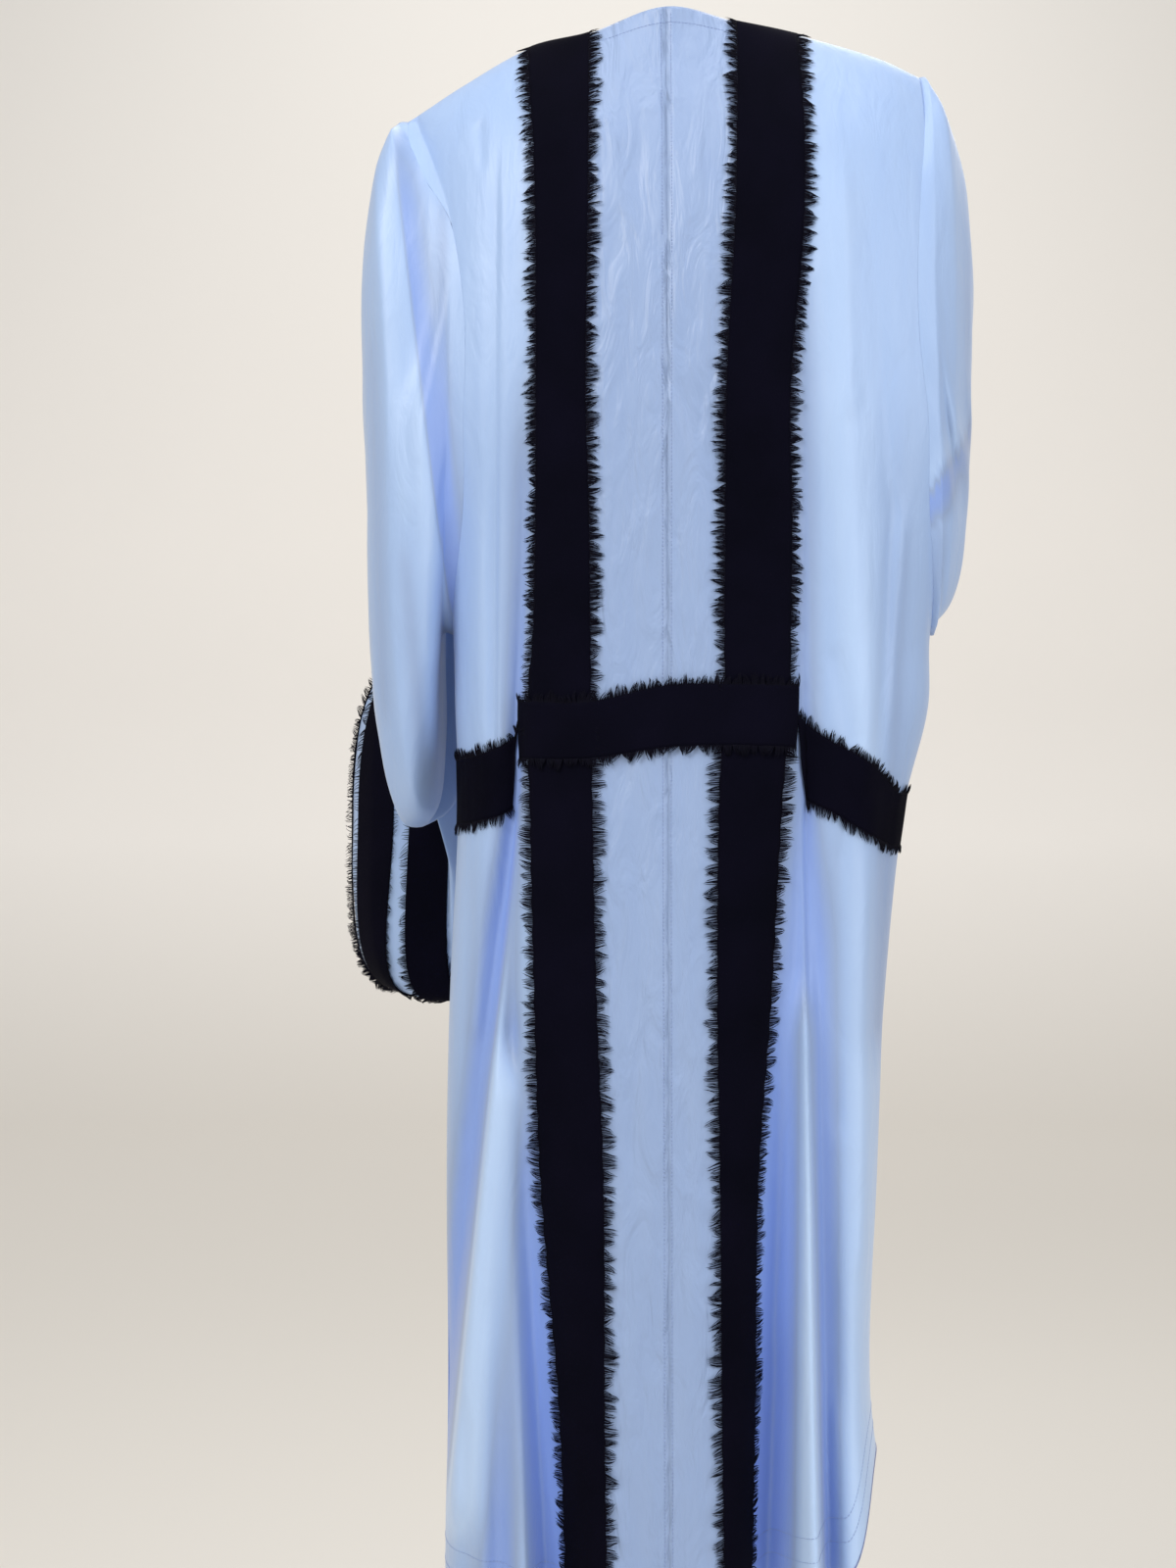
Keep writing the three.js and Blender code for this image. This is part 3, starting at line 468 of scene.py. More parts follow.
def finish_piece(item, material, slot, *nodes):
    """Gives a piece its material and its body, and hides the solids that it stands for; slot is not used."""
    item.data.materials.append(material)
    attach(item, "root")
    if nodes:
        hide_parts(*nodes)
    return item


SATIN_HALF = 0.3
pieces = {}
for side, word in ((-1, "left"), (1, "right")):
    u, v = np.meshgrid(
        np.concatenate([np.linspace(0, 6, 25)[:-1], np.linspace(6, LAST, 80)]),
        np.concatenate([np.linspace(0, 1, 80)[:-1] ** 1.25, np.linspace(1, 2, 135)]),
    )

    points, turned = panel(side, u, v)
    name = "back_" + word
    crumple = smooth((6 - u) / 2.5)
    # Painted shade in the troughs and painted highlight on the ridges of the large folds and the shaded
    # creases, and a darker, greyer blue over the centre panel between the bands.
    tone = fold_shade_of(BACK_FOLDS + SHADED_CREASES, points) + 0.17 * crumple
    values = {"depth": tone, "crumple": crumple}
    pieces[name] = shell("satin_" + name, points, turned, SATIN_HALF, values=values)
    finish_piece(pieces[name], satin, "satin", name)

# Front panels
# Two plain halves of the same satin that meet at the centre front below a V neck.
# Their folds have the same columns as those of the back.
FRONT_FOLDS = (
    (-40, -420, -52, -1450, 0, 20, 20, 22),
    (-98, -230, -104, -1450, 0, 26, 20, 18),
    (-150, -560, -156, -1450, 0, 22, 18, 18),
    (44, -470, 50, -1450, 0, 18, 22, 20),
    (104, -260, 98, -1450, 0, 28, 18, 20),
    (158, -600, 148, -1450, 0, 20, 18, 18),
)
for side, word in ((-1, "left"), (1, "right")):
    u, v = np.meshgrid(
        np.concatenate([np.linspace(0, 6, 20)[:-1], np.linspace(6, LAST, 34)]),
        np.concatenate([np.linspace(0, 1, 60)[:-1] ** 1.25, np.linspace(1, 2, 80)]),
    )

    points, turned = panel(side, u, v, back=False)
    name = "front_" + word
    # Painted shade deep in the troughs of the front's folds.
    values = {"depth": fold_shade_of(FRONT_FOLDS, points)}
    pieces[name] = shell("satin_" + name, points, turned, SATIN_HALF, values=values)
    finish_piece(pieces[name], satin, "satin", name)

# Sleeves
# Wide tubes of the same satin, set into the armholes. The left one hangs in a lobe over
# the bent arm before its cuff comes forward; the right one goes forward round the side.
# Sections after the armhole: outer x, y, inner x, y, x of top and bottom, top, bottom, hug
LEFT_SLEEVE = np.array([
    (-199, -58, -207, 58, -250, -210, -57, -556, 0.85),
    (-224, -76, -213, 66, -256, -214, -66, -640, 0.12),
    (-256, -64, -212, 70, -262, -222, -92, -705, 0),
    (-277, -24, -212, 76, -268, -236, -145, -722, 0),
    (-280, 24, -192, 86, -262, -225, -240, -714, 0),
    (-249, 46, -180, 98, -244, -208, -340, -692, 0),
    (-234, 63, -169, 104, -220, -210, -400, -698, 0),
    (-214, 88, -157, 121, -196, -189, -440, -789, 0),
    (-208, 105, -146, 140, -188, -190, -470, -886, 0),
    (-248, 113, -150, 155, -196, -214, -492, -896, 0),
    (-264, 118, -154, 168, -206, -228, -506, -895, 0),
    (-286, 133, -161, 183, -218, -240, -524, -892, 0),
    (-302, 156, -168, 196, -230, -248, -540, -890, 0),
    (-310, 177, -175, 210, -240, -254, -552, -889, 0),
    (-314, 228, -186, 244, -250, -260, -575, -890, 0),
], float)
RIGHT_SLEEVE = np.array([
    (247, -60, 234, 62, 248, 255, -17, -538, 0.85),
    (268, -49, 241, 76, 256, 256, -36, -527, 0.12),
    (288, -12, 237, 79, 270, 261, -84, -518, 0),
    (293, 28, 228, 98, 278, 251, -160, -515, 0),
    (282, 72, 200, 110, 262, 224, -250, -529, 0),
    (262, 104, 170, 118, 236, 189, -310, -553, 0),
    (256, 115, 158, 135, 222, 204, -328, -590, 0),
    (250, 127, 148, 142, 208, 198, -343, -625, 0),
    (243, 142, 138, 150, 196, 196, -358, -655, 0),
    (227, 186, 118, 170, 178, 184, -372, -676, 0),
    (219, 205, 112, 180, 170, 177, -380, -682, 0),
    (208, 230, 106, 194, 161, 168, -388, -689, 0),
    (198, 252, 100, 206, 152, 160, -396, -695, 0),
    (190, 270, 95, 216, 146, 153, -404, -701, 0),
    (166, 314, 84, 238, 126, 133, -420, -712, 0),
], float)
SLEEVE_OVAL = 0.72  # under 1 makes a sleeve's section squarer than an ellipse
SLEEVE_END = 15  # station of a sleeve's edge
SLEEVE_FOLDS = {
    -1: (
        (-248, -100, -186, -610, 9, 20, 17, 4),
        (-253, -110, -194, -600, -2, -5, 3, 12),
        (-262, -140, -240, -420, -2, -3, 8, 10),
        (-225, -300, -214, -560, -2, -3, 6, 7),
        (-274, -260, -262, -600, 2.5, 3, 8, 9),
        (-240, -470, -222, -690, 3, 4, 7, 8),
        (-206, -110, -203, -420, 3, 5, 5, 6),
    ),
    1: (
        (268, -100, 276, -400, -2, -3, 8, 8),
        (282, -200, 284, -420, 2, 2.5, 7, 7),
        (252, -440, 262, -520, 2, 4, 9, 10),
        (276, -420, 258, -540, -2, -4, 8, 9),
        (298, -335, 236, -430, 9, 14, 3.5, 22),
        (292, -326, 230, -420, -3, -4, 12, 3.5),
    ),
}


def sleeve_station(side, table, station, turn):
    """Round a sleeve at a whole station: the armhole's edge at 0, then superellipses whose
    share "hug" keeps the armhole's shape. Turn goes from 0 at the top down the outer side to
    the bottom at half, and up the inner side."""
    steps = turn * 22
    row = np.interp(np.where(steps <= 11, steps, 22 - steps), np.arange(12), UPPER_ROWS)
    ends = [body(side, np.full(turn.shape, float(LAST)), row, back) for back in (True, False)]
    armhole = np.where((steps <= 11)[..., None], ends[0], ends[1])
    if station == 0:
        return armhole
    ox, oy, ix, iy, tx, bx, top, bottom, hug = table[station - 1]
    angle = turn * 2 * math.pi
    up = np.sign(np.cos(angle)) * np.abs(np.cos(angle)) ** SLEEVE_OVAL
    out = np.sign(np.sin(angle)) * np.abs(np.sin(angle)) ** SLEEVE_OVAL
    middle = (ox + ix) / 2
    x = middle + (ox - ix) / 2 * out + (np.where(up > 0, tx, bx) - middle) * up * up
    z = (top + bottom) / 2 + (top - bottom) / 2 * up
    push = np.where(out > 0, fold_depth(SLEEVE_FOLDS[side], x, z) * np.minimum(1, out * 1.4), 0)
    y = (oy + iy) / 2 + (oy - iy) / 2 * out + push * np.interp(station, (3, 4, 5, 6), (1, 0.5, 0.15, 0))
    y = y + (armhole[..., 1] - y) * hug
    z = z + (armhole[..., 2] - z) * hug
    return np.stack([x, y, z], -1)


def sleeve_of(side):
    """shape(turn, station): a cubic through the sleeve's stations, with small waves across it."""
    table = LEFT_SLEEVE if side < 0 else RIGHT_SLEEVE
    last = len(table)

    def shape(turn, station):
        turn, station = np.broadcast_arrays(np.mod(turn, 1.0), np.clip(station, 0, last))
        even = turn.ndim > 1 and np.allclose(turn, turn[:1])
        at = turn[0] if even else turn
        stops = np.stack([sleeve_station(side, table, k, at) for k in range(last + 1)])
        if even:
            stops = np.broadcast_to(stops[:, None], (last + 1,) + turn.shape + (3,))
        k = np.clip(np.floor(station).astype(int), 0, last - 1)
        f = (station - k)[..., None]

        def pick(j):
            index = np.clip(j, 0, last)[None, ..., None] + np.zeros((1,) + j.shape + (3,), int)
            return np.take_along_axis(stops, index, 0)[0]

        p0, p1, p2, p3 = pick(k - 1), pick(k), pick(k + 1), pick(k + 2)
        m1, m2 = (p2 - p0) * 0.32, (p3 - p1) * 0.32
        return (
            p1 * (1 + 2 * f) * (1 - f) ** 2 + p2 * f * f * (3 - 2 * f)
            + m1 * f * (1 - f) ** 2 - m2 * f * f * (1 - f)
        )

    return shape


def outward(shape, turn, station):
    """Unit normals of a sleeve, turned away from the middle of their ring."""
    station = np.clip(station, 0.06, SLEEVE_END - 0.06)
    across = shape(turn + 0.004, station) - shape(turn - 0.004, station)
    along = shape(turn, station + 0.05) - shape(turn, station - 0.05)
    normal = unit(np.cross(along, across))
    points = shape(turn, station)
    middle = points.mean(-2, keepdims=True)
    return normal * np.sign(((points - middle) * normal).sum())


sleeves = {}
for side, word in ((-1, "left"), (1, "right")):
    shape = sleeve_of(side)
    sleeves[side] = shape
    turn, station = np.meshgrid(
        np.arange(100) / 100,
        np.concatenate([np.linspace(0.02, 6, 124)[:-1], np.linspace(6, SLEEVE_END, 66)]),
    )
    points = shape(turn, station)
    turned = outward(shape, turn, station)
    level = points[..., 2]
    ripple = np.sin(level / 15 + station * 1.7) * np.sin(station * 2.3 + level / 52)
    points = points + turned * (0.5 * ripple * smooth(station / 3))[..., None]
    # Painted shade in the troughs and painted highlight on the ridges of the sleeve's folds, only on its
    # outer side before station 5.5 and where it faces forward or back.
    outer = smooth(np.sin(turn * 2 * math.pi) * 3) * smooth((5.5 - station) / 2)
    outer = outer * smooth(np.abs(turned[..., 1]) * 1.6)
    tone = np.clip(0.2 + (fold_shade_of(SLEEVE_FOLDS[side], points) - 0.2) * outer * 1.3, 0, 1)
    name = "sleeve_" + word
    pieces[name] = shell("satin_" + name, points, turned, SATIN_HALF, True, {"depth": tone})
    finish_piece(pieces[name], satin, "satin", name)

# Long bands
# Two bands of black crepe with frayed edges, sewn flat on the back from the shoulder
# seams to the hem. The crepe is matt and takes up almost all the light.
# Its grain is drawn at 1 mm, the finest that shows.
crepe, tree, output = new_material("black_wool_crepe")
place = add(tree, "ShaderNodeTexCoord")
grain_place = add(tree, "ShaderNodeMapping", {"Vector": place.outputs["Object"]}, Scale=(900, 900, 700))
grain = add(tree, "ShaderNodeTexNoise", {"Vector": grain_place.outputs["Vector"]}, Scale=1.0, Detail=3.0)
wide = add(tree, "ShaderNodeTexNoise", {"Vector": place.outputs["Object"]}, Scale=14.0, Detail=3.0)
shades = add(tree, "ShaderNodeValToRGB", {"Fac": wide.outputs["Fac"]})
set_ramp(shades, (0.3, "#03030F"), (0.75, "#070616"))
bump = add(tree, "ShaderNodeBump", {"Height": grain.outputs["Fac"]}, Strength=0.5, Distance=0.0006)
links = {"Base Color": shades.outputs["Color"], "Normal": bump.outputs["Normal"]}
shader = add(tree, "ShaderNodeBsdfPrincipled", links, Roughness=0.92, Specular_IOR_Level=0.07)
tree.links.new(shader.outputs["BSDF"], output.inputs["Surface"])

CREPE_HALF = 0.4
ON_BLUE = 1.5  # how far a band lies off the satin's middle
ON_BAND = 3.0
for side, word in ((-1, "left"), (1, "right")):
    u, v = np.meshgrid(
        np.linspace(BAND_IN, BAND_OUT, 17),
        np.concatenate([np.linspace(0, 1, 120)[:-1] ** 1.25, np.linspace(1, 2, 180)]),
    )
    points, turned = panel(side, u, v)
    ragged = 0.5 * np.sin(v * 190 + 2 * side) * (np.abs(u - 4) > 0.95) * np.sign(u - 4)
    points = points + turned * ON_BLUE + np.stack([ragged * side, 0 * ragged, 0 * ragged], -1)
    pieces["band_" + word] = shell("crepe_band_" + word, points, turned, CREPE_HALF)
    finish_piece(pieces["band_" + word], crepe, "bands", "band_" + word)

# Belt
# A centre piece of the same crepe that crosses both bands, and a piece on each side that
# hangs lower and runs to the side seam. Rows of x, top and bottom height.
BELTS = {
    "centre": np.array([
        (-132, -606, -658), (-72, -607, -658), (0, -592, -648), (60, -591, -646), (120, -592, -648),
    ], float),
    "left": np.array([
        (-132, -630, -692), (-152, -646, -708), (-178, -656, -716), (-200, -660, -719),
    ], float),
    "right": np.array([
        (120, -622, -690), (150, -642, -702), (176, -654, -714), (200, -668, -726), (232, -690, -738),
    ], float),
}
BELT_END = 5.55  # column at which the centre piece ends
BELT_ENDS = {
    "centre": (-BELT_END, BELT_END),
    "left": (-LAST + 0.03, -BELT_END),
    "right": (BELT_END, LAST - 0.03),
}
BELT_SLANT = 0.9


def row_at(side, column, z):
    """The row whose point lies at a height, from the straight rule between the underarm and the hem."""
    top_x = column_x(side, column, np.full(column.shape, SHOULDER_LEVEL))
    hem = hem_height(top_x, True)
    top = curve(TOP, 0, 1, top_x)
    return np.where(z >= UNDERARM, (top - z) / (top - UNDERARM), 1 + (UNDERARM - z) / (UNDERARM - hem))


def belt_of(name):
    """shape(c, t) and lift(c): c is a signed column, t goes from the top edge to the bottom edge."""
    table = BELTS[name]

    def shape(c, t):
        c, t = np.broadcast_arrays(c, t)
        side = -1 if name == "left" else 1
        halves = []
        for s in ((-1, 1) if name == "centre" else (side,)):
            column = np.abs(c)
            x = body(s, column, np.full(column.shape, 1.1))[..., 0]
            z = curve(table, 0, 1, x) * (1 - t) + curve(table, 0, 2, x) * t
            halves.append(body(s, column, row_at(s, column, z)))
        return halves[0] if len(halves) == 1 else np.where((c < 0)[..., None], halves[0], halves[1])

    def lift(c):
        if name == "centre":
            return np.full(np.shape(c), ON_BAND)
        return ON_BAND + (ON_BLUE - ON_BAND) * smooth((np.abs(c) - BELT_END) / 2.5)

    return shape, lift


def belt_normals(shape, c, t):
    """Unit normals of the belt, all to one side of it."""
    across = shape(c + 0.03, t) - shape(c - 0.03, t)
    down = shape(c, t + 0.03) - shape(c, t - 0.03)
    return unit(np.cross(across, down))


def belt_column(name, share, t):
    """A column between a piece's ends: the side pieces' inner ends slant outwards on their way
    down, by 0.9 of a column."""
    start, stop = BELT_ENDS[name]
    start = start + (BELT_SLANT * t if name == "right" else 0)
    stop = stop - (BELT_SLANT * t if name == "left" else 0)
    return start + (stop - start) * share


def belt_lift(lift, c, t):
    """How far a belt piece lies off the satin: its lift and a low wave, less at the bottom."""
    wave = 0.5 * np.sin(c * 2.1 + t * 4) + 0.3 * np.sin(c * 5.3 + 1)
    return lift(c) + 0.6 * wave * (1 - 0.5 * t)


belts = {}
for name in BELT_ENDS:
    shape, lift = belt_of(name)
    belts[name] = (shape, lift)
    share, t = np.meshgrid(np.linspace(0, 1, 110 if name == "centre" else 70), np.linspace(0, 1, 17))
    c = belt_column(name, share, t)
    points = shape(c, t)
    turned = belt_normals(shape, c, t)
    turned *= np.sign((turned * np.array([0, -1, 0])).sum(-1).mean())
    points = points + turned * belt_lift(lift, c, t)[..., None]
    pieces["belt_" + name] = shell("crepe_belt_" + name, points, turned, CREPE_HALF)
    finish_piece(pieces["belt_" + name], crepe, "bands", "belt_" + name)

# Sleeve bands
# Three bands of the same crepe round each sleeve end, with narrow stripes of satin left
# between them. Each runs between two stations of the sleeve.
SLEEVE_BANDS = (("upper", 9, 10), ("middle", 11, 13), ("edge", 14, SLEEVE_END))
BAND_SLANT = 0.7


def slanted(turn, station):
    """A station moved on by up to 0.7 under the sleeve and back by as much at its top, and not
    at all at its edge."""
    share = np.sin(math.pi * np.clip((station - 8.5) / 6.5, 0, 1))
    return station - BAND_SLANT * np.cos(turn * 2 * math.pi) * share


for side, word in ((-1, "left"), (1, "right")):
    for name, start, stop in SLEEVE_BANDS:
        steps = np.linspace(start, stop, 8 + 7 * (stop - start))
        turn, station = np.meshgrid(np.arange(132) / 132, steps)
        station = slanted(turn, station)
        points = sleeves[side](turn, station)
        turned = outward(sleeves[side], turn, station)
        piece = "band_sleeve_" + word + "_" + name
        pieces[piece] = shell("crepe_" + piece, points + turned * ON_BLUE, turned, CREPE_HALF, closed=True)
        finish_piece(pieces[piece], crepe, "bands", piece)

# Fringe
# The edges of every band are frayed: loose black threads that stand out sideways, clump
# together and curl a little. Each is a fine tapered three-sided thread.
thread_black, tree, output = new_material("frayed_black_yarn")
place = add(tree, "ShaderNodeTexCoord")
speck = add(tree, "ShaderNodeTexNoise", {"Vector": place.outputs["Object"]}, Scale=220.0, Detail=2.0)
shades = add(tree, "ShaderNodeValToRGB", {"Fac": speck.outputs["Fac"]})
set_ramp(shades, (0.0, "#03030D"), (1.0, "#0D0C1C"))
links = {"Base Color": shades.outputs["Color"]}
shader = add(tree, "ShaderNodeBsdfPrincipled", links, Roughness=0.85, Specular_IOR_Level=0.1)
tree.links.new(shader.outputs["BSDF"], output.inputs["Surface"])


def threads(root, out, along, normal, reach, seed, thick=0.46):
    """One thread for each root: root + out * length * t, bent along the edge and off the cloth
    by powers of t, as a tapered three-sided tube. Groups of 5 to 13 make a lock: their tips
    gather, and they share a lean and a length."""
    rng = np.random.default_rng(seed)
    count = len(root)
    ends = np.cumsum(rng.integers(5, 14, count // 5 + 2))
    lock = np.searchsorted(ends, np.arange(count), side="right")
    starts = np.concatenate([[0], ends])
    locks = lock.max() + 1
    step = np.linalg.norm(np.diff(root, axis=0), axis=1).mean()
    off_middle = (starts[lock] + ends[lock]) / 2 - np.arange(count)
    gather = off_middle * step * rng.uniform(0.35, 0.95, locks)[lock]
    lean = gather + 2.4 * rng.normal(size=locks)[lock] + 0.6 * rng.normal(size=count)
    size = rng.uniform(0.62, 1.12, locks)[lock] + 0.1 * rng.normal(size=count)
    size = reach * np.clip(size * (1 + 0.1 * np.sin(np.arange(count) / 47)), 0.4, 1.2)
    lift = rng.uniform(0.2, 1.6, locks)[lock] + rng.uniform(0, 0.8, count)
    curl = (rng.normal(0, 0.9, locks)[lock] + rng.normal(0, 0.4, count)) * 1.2
    t = np.array([0.0, 0.38, 0.74, 1.0])
    line = (
        root[:, None]
        + out[:, None] * (size[:, None] * (t - 0.08 * t * t))[..., None]
        + along[:, None] * (lean[:, None] * t ** 1.6 + curl[:, None] * np.sin(3.0 * t) * t)[..., None]
        + normal[:, None] * (lift[:, None] * np.sin(2.2 * t))[..., None]
    )
    ring = thick * np.array([1.0, 0.85, 0.6])
    angle = np.array([0, 2, 4]) * math.pi / 3 + 0.5
    around = np.cos(angle)[None, :, None] * along[:, None] + np.sin(angle)[None, :, None] * normal[:, None]
    tube = line[:, :3, None] + around[:, None] * ring[None, :, None, None]
    points = np.concatenate([tube.reshape(count, 9, 3), line[:, 3:4]], 1)
    faces = []
    for level in (0, 3):
        for k in range(3):
            a, b = level + k, level + (k + 1) % 3
            faces += [(a, b, b + 3), (a, b + 3, a + 3)]
    faces += [(6, 7, 9), (7, 8, 9), (8, 6, 9)]
    faces = np.array(faces)
    handed = np.einsum("ij,ij->i", np.cross(along, normal), out).mean() > 0
    faces = faces if handed else faces[:, ::-1]
    all_faces = (faces[None] + 10 * np.arange(count)[:, None, None]).reshape(-1, 3)
    return points.reshape(-1, 3), all_faces


def fringe(name, runs, *nodes):
    """Joins the threads of one or more edges into one piece."""
    points, faces, base = [], [], 0
    for corners, sides in runs:
        points.append(corners)
        faces.append(sides + base)
        base += len(corners)
    item = mesh_of("yarn_" + name, np.concatenate(points), np.concatenate(faces))
    pieces["fringe_" + name] = item
    return finish_piece(item, thread_black, "fringe", *nodes)


THREAD_STEP = 0.7  # mm between threads
BAND_LENGTH = 1480
SLEEVE_THREADS = 700  # round one edge of a sleeve band
REACH = 14  # mm from an edge to the tips of its longest threads
for side, word in ((-1, "left"), (1, "right")):
    for edge, column, way in (("inner", BAND_IN, -1), ("outer", BAND_OUT, 1)):
        count = int(BAND_LENGTH / THREAD_STEP)
        rng = np.random.default_rng(11 + column + side)
        r = np.sort(np.clip(np.linspace(0.004, 1.996, count) + rng.normal(0, 0.0005, count), 0.003, 1.997))
        c = np.full(count, float(column))
        root, normal = panel(side, c, r)
        out = unit(panel(side, c + 0.3 * way, r)[0] - root)
        along = unit(panel(side, c, r + 0.002)[0] - panel(side, c, r - 0.002)[0])
        start = root + normal * ON_BLUE - out * 0.8
        run = threads(start, out, along, normal, REACH, 100 + column + 7 * side)
        fringe(word + "_" + edge, [run], "fringe_band_%s_%s" % (word, edge))

for name, (shape, lift) in belts.items():
    for edge, t, way in (("top", 0.0, -1), ("bottom", 1.0, 1)):
        rule = belt_column(name, np.linspace(0, 1, 400), t)
        trace = shape(rule, np.full(400, t))
        run_length = np.concatenate([[0], np.cumsum(np.linalg.norm(np.diff(trace, axis=0), axis=1))])
        count = int(run_length[-1] / THREAD_STEP)
        c = np.interp(np.linspace(0, run_length[-1], count), run_length, rule)
        root = shape(c, np.full(count, t))
        inside = shape(c, np.full(count, t - 0.15 * way))
        out = unit(root - inside)
        along = unit(shape(c + 0.02, np.full(count, t)) - shape(c - 0.02, np.full(count, t)))
        normal = unit(np.cross(along, out))
        normal *= -np.sign(normal[:, 1:2].mean())
        start = root + normal * belt_lift(lift, c, t)[:, None] - out * 0.8
        run = threads(start, out, along, normal, REACH - 2.5, 300 + len(name) + way)
        fringe(name + "_" + edge, [run], "fringe_belt_%s_%s" % (name, edge))

for side, word in ((-1, "left"), (1, "right")):
    for name, start, stop in SLEEVE_BANDS:
        runs = []
        for at, way in ((start, -1), (stop, 1)):
            rng = np.random.default_rng(at)
            turn = np.linspace(0, 1, SLEEVE_THREADS, endpoint=False)
            turn = np.sort(np.mod(turn + rng.normal(0, 0.0004, SLEEVE_THREADS), 1))
            here = slanted(turn, np.full(SLEEVE_THREADS, float(at)))
            root = sleeves[side](turn, here)
            if at == SLEEVE_END:
                out = unit(sleeves[side](turn, here - 0.001) - sleeves[side](turn, here - 0.3))
            else:
                out = unit(sleeves[side](turn, here + 0.3 * way) - root)
            normal = outward(sleeves[side], turn, here)
            out = unit(out + (1.0 if at > 13 else 0.35) * normal)
            along = unit(sleeves[side](turn + 0.002, here) - sleeves[side](turn - 0.002, here))
            reach = REACH - 2 if (name, way) in (("upper", -1), ("edge", 1)) else REACH - 4
            runs.append(threads(root + normal * ON_BLUE - out * 0.8, out, along, normal, reach, 500 + at))
        fringe("sleeve_%s_%s" % (word, name), runs, "fringe_sleeve_%s_%s" % (word, name))

# Stitching
# Pale blue machine stitches: two lines beside the centre-back seam, one under the neck
# edge, two round the hem, and a purple overlock thread on the hem's raw edge.


def thread_material(name, code):
    """Twisted polyester thread: a plain colour with a soft gloss."""
    item, tree, output = new_material(name)
    place = add(tree, "ShaderNodeTexCoord")
    twist = add(tree, "ShaderNodeTexNoise", {"Vector": place.outputs["Object"]}, Scale=900.0)
    colours = {"Color1": linear(code), "Color2": linear("#94A8D4")}
    shade = add(tree, "ShaderNodeMixRGB", {"Fac": twist.outputs["Fac"]}, **colours)
    shader = add(tree, "ShaderNodeBsdfPrincipled", {"Base Color": shade.outputs["Color"]}, Roughness=0.5)
    tree.links.new(shader.outputs["BSDF"], output.inputs["Surface"])
    return item


blue_thread = thread_material("blue_polyester_thread", "#9DB1DC")
purple_thread = thread_material("purple_overlock_thread", "#6B5A9A")


def stitches(name, lines, material, length=2.6, gap=0.9, thick=0.28):
    """Short four-sided bars laid along lines of points with their normals, one bar to a stitch."""
    points, faces, base = [], [], 0
    for line, normal in lines:
        step = np.concatenate([[0], np.cumsum(np.linalg.norm(np.diff(line, axis=0), axis=1))])
        count = max(1, int(step[-1] / (length + gap)))
        starts = np.arange(count) * (length + gap)
        ends = []
        for along in (0, length / 2, length):
            ends.append(np.stack([np.interp(starts + along, step, line[:, k]) for k in range(3)], -1))
        up = unit(np.stack([np.interp(starts, step, normal[:, k]) for k in range(3)], -1))
        way = unit(ends[2] - ends[0])
        side_way = unit(np.cross(way, up))
        rings = []
        for at, lift in zip(ends, (0.05, 0.30, 0.05)):
            for a, b in ((-1, 0), (0, 1), (1, 0), (0, -0.6)):
                rings.append(at + side_way * (a * thick) + up * (SATIN_HALF + lift + b * thick * 0.8))
        points.append(np.stack(rings, 1).reshape(-1, 3))
        one = [(0, 3, 2, 1), (8, 9, 10, 11)]
        for level in (0, 4):
            for k in range(4):
                one.append((level + k, level + (k + 1) % 4, level + 4 + (k + 1) % 4, level + 4 + k))
        one = np.array(one)
        faces.append((one[None] + 12 * np.arange(count)[:, None, None]).reshape(-1, 4) + base)
        base += 12 * count
    item = mesh_of(name, np.concatenate(points), np.concatenate(faces))
    return finish_piece(item, material, "satin")


SEAM_COLUMN = 0.14
NECK_ROW = 0.026
HEM_ROWS = (1.966, 1.942)
long_rows = np.linspace(0.01, 1.995, 500)
seam_lines = [panel(side, np.full(500, SEAM_COLUMN), long_rows) for side in (-1, 1)]
neck_columns = np.linspace(0.0, 3.0, 60)
neck_lines = [panel(side, neck_columns, np.full(60, NECK_ROW)) for side in (-1, 1)]
hem_columns = np.linspace(0.0, LAST, 300)
hem_lines = []
for back in (True, False):
    for side in (-1, 1):
        for row in HEM_ROWS:
            hem_lines.append(panel(side, hem_columns, np.full(300, row), back))
pieces["seam_stitches"] = stitches("seam_stitches", seam_lines + neck_lines + hem_lines, blue_thread)
overlock = []
for back in (True, False):
    for side in (-1, 1):
        zigzag = 1.9985 - 0.0022 * (np.arange(1800) % 2)
        overlock.append(panel(side, np.linspace(0.0, LAST, 1800), zigzag, back))
pieces["overlock"] = stitches("overlock", overlock, purple_thread, length=1.6, gap=0.3, thick=0.2)

# The sheets of cloth, with what is sewn on each of them: widest width, length and area of
# each cut piece in metres, laid flat.
CUTS = {
    "back_left": (0.297, 1.517, 0.3912), "back_right": (0.321, 1.517, 0.4232),
    "front_left": (0.278, 1.487, 0.3597), "front_right": (0.287, 1.496, 0.3729),
    "sleeve_left": (0.492, 0.859, 0.3674), "sleeve_right": (0.441, 0.714, 0.2739),
}
for word in ("left", "right"):
    on_back = [pieces["band_" + word], pieces["belt_" + word]]
    on_back += [pieces["fringe_%s_%s" % (word, edge)] for edge in ("inner", "outer", "top", "bottom")]
    if word == "left":
        on_back += [pieces["belt_centre"], pieces["fringe_centre_top"], pieces["fringe_centre_bottom"]]
        on_back += [pieces["seam_stitches"], pieces["overlock"]]
    on_sleeve = []
    for kind in ("band", "fringe"):
        on_sleeve += [pieces["%s_sleeve_%s_%s" % (kind, word, name)] for name in ("upper", "middle", "edge")]
    for kind, sewn_on in (("back", on_back), ("front", []), ("sleeve", on_sleeve)):
        wide, long, area = CUTS[kind + "_" + word]
        piece = pieces[kind + "_" + word]

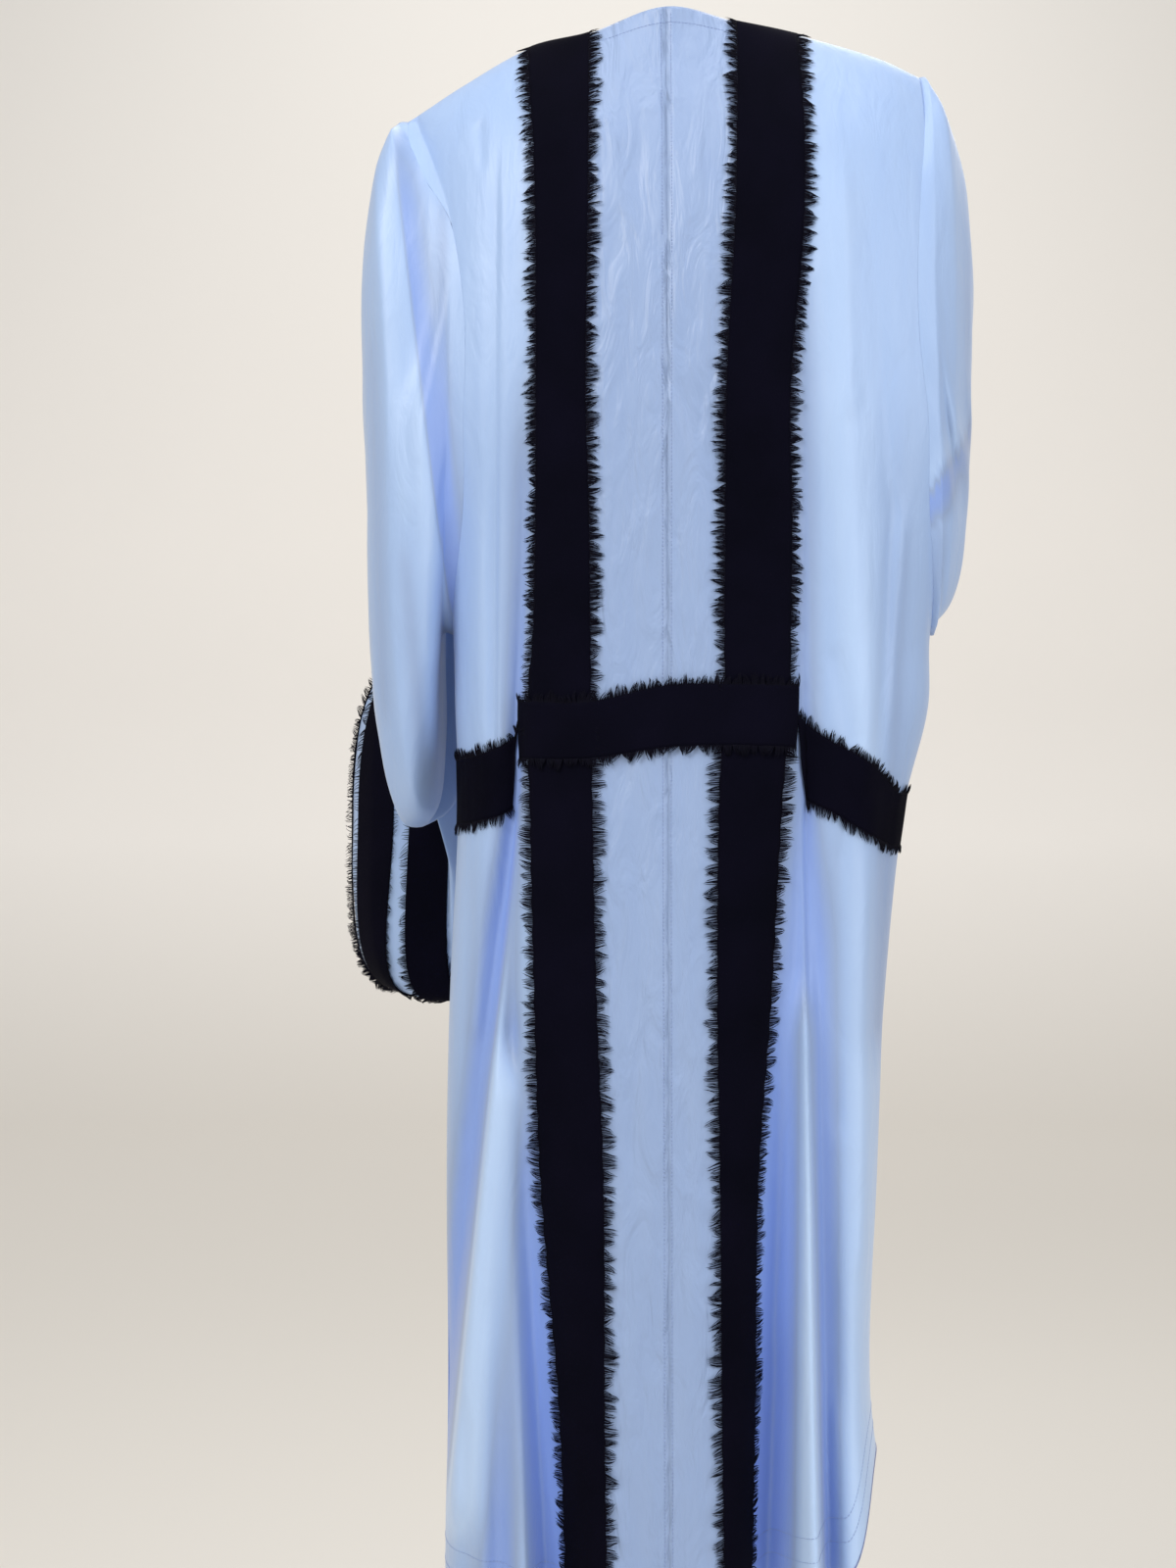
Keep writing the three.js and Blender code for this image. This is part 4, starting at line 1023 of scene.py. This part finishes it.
# Studio
# A pale beige paper sweep far behind and below the robe, and large soft lights.
paper, tree, output = new_material("beige_paper")
place = add(tree, "ShaderNodeTexCoord")
faint = add(tree, "ShaderNodeTexNoise", {"Vector": place.outputs["Object"]}, Scale=3.0)
colours = {"Color1": linear("#EFECE9"), "Color2": linear("#EDEAE7")}
tone = add(tree, "ShaderNodeMixRGB", {"Fac": faint.outputs["Fac"]}, **colours)
level = add(tree, "ShaderNodeSeparateXYZ", {"Vector": place.outputs["Object"]})
height = add(tree, "ShaderNodeMapRange", {"Value": level.outputs["Z"]}, From_Min=-1.9, From_Max=-0.9)
links = {"Fac": height.outputs["Result"], "Color2": tone.outputs["Color"]}
lower = add(tree, "ShaderNodeMixRGB", links, Color1=linear("#CFCBC5"))
top = add(tree, "ShaderNodeMapRange", {"Value": level.outputs["Z"]}, From_Min=0.3, From_Max=2.8)
links = {"Fac": top.outputs["Result"], "Color1": lower.outputs["Color"]}
upper = add(tree, "ShaderNodeMixRGB", links, Color2=linear("#DAD8D5"))
shader = add(
    tree, "ShaderNodeBsdfPrincipled", {"Base Color": upper.outputs["Color"]}, Roughness=0.95,
    Specular_IOR_Level=0.1, Emission_Color=linear("#EDE9E4"), Emission_Strength=0.16)
tree.links.new(shader.outputs["BSDF"], output.inputs["Surface"])
HALF_WIDTH = 12000
NEAR, FAR = -9000, 6600  # y of the floor's two ends
FLOOR = -1900
BEND = 1600  # radius of the bend between the floor and the wall
WALL_HEIGHT = 8000
across, along = np.meshgrid(np.linspace(-HALF_WIDTH, HALF_WIDTH, 3), np.linspace(0, 1, 80))
bend = np.clip(along * 2 - 1, 0, 1) * math.pi / 2
floor_y = np.where(along < 0.5, NEAR + along * 2 * (FAR - NEAR), FAR + BEND * np.sin(bend))
floor_z = np.where(along < 0.5, FLOOR, FLOOR + BEND * (1 - np.cos(bend)))
sweep_points = np.stack([across, floor_y, floor_z], -1)
wall_top = sweep_points[-1:] + np.array([0, 0, WALL_HEIGHT])
sweep_points = np.concatenate([sweep_points, wall_top])
ids = np.arange(sweep_points.shape[0] * 3).reshape(-1, 3)
sweep_faces = np.stack([ids[:-1, :-1], ids[:-1, 1:], ids[1:, 1:], ids[1:, :-1]], -1).reshape(-1, 4)
sweep = mesh_of("paper_sweep", sweep_points.reshape(-1, 3), sweep_faces)
sweep.data.materials.append(paper)


def soft_light(name, place, aim, size, power, code):
    """A square area light that faces a point."""
    data = bpy.data.lights.new(name, "AREA")
    data.size = size
    data.energy = power
    data.color = linear(code)[:3]
    item = bpy.data.objects.new(name, data)
    bpy.context.scene.collection.objects.link(item)
    way = np.array(aim, float) - np.array(place, float)
    item.location = place
    item.rotation_euler = (
        math.atan2(math.hypot(way[0], way[1]), -way[2]), 0, math.atan2(way[1], way[0]) - math.pi / 2)
    return item


soft_light("key", (-1.9, -2.6, 1.5), (0, 0, -0.6), 1.8, 78, "#FFFDF8")
soft_light("fill", (2.4, -2.2, 0.2), (0, 0, -0.7), 2.2, 34, "#F4F8FF")
soft_light("top", (0.2, -0.6, 2.4), (0, 0, -0.4), 2.0, 30, "#FFFFFF")
soft_light("front", (0.6, 2.0, 1.4), (0, 0, -0.6), 2.0, 30, "#FFFFFF")
soft_light("backdrop", (0, 5.2, 3.6), (0, 8.2, -0.6), 3.5, 80, "#FFFDFB")
world = bpy.data.worlds.new("studio")
world.use_nodes = True
world.node_tree.nodes["Background"].inputs["Color"].default_value = linear("#F3F1EC")
world.node_tree.nodes["Background"].inputs["Strength"].default_value = 0.52
bpy.context.scene.world = world
bpy.context.scene.view_settings.view_transform = "Standard"
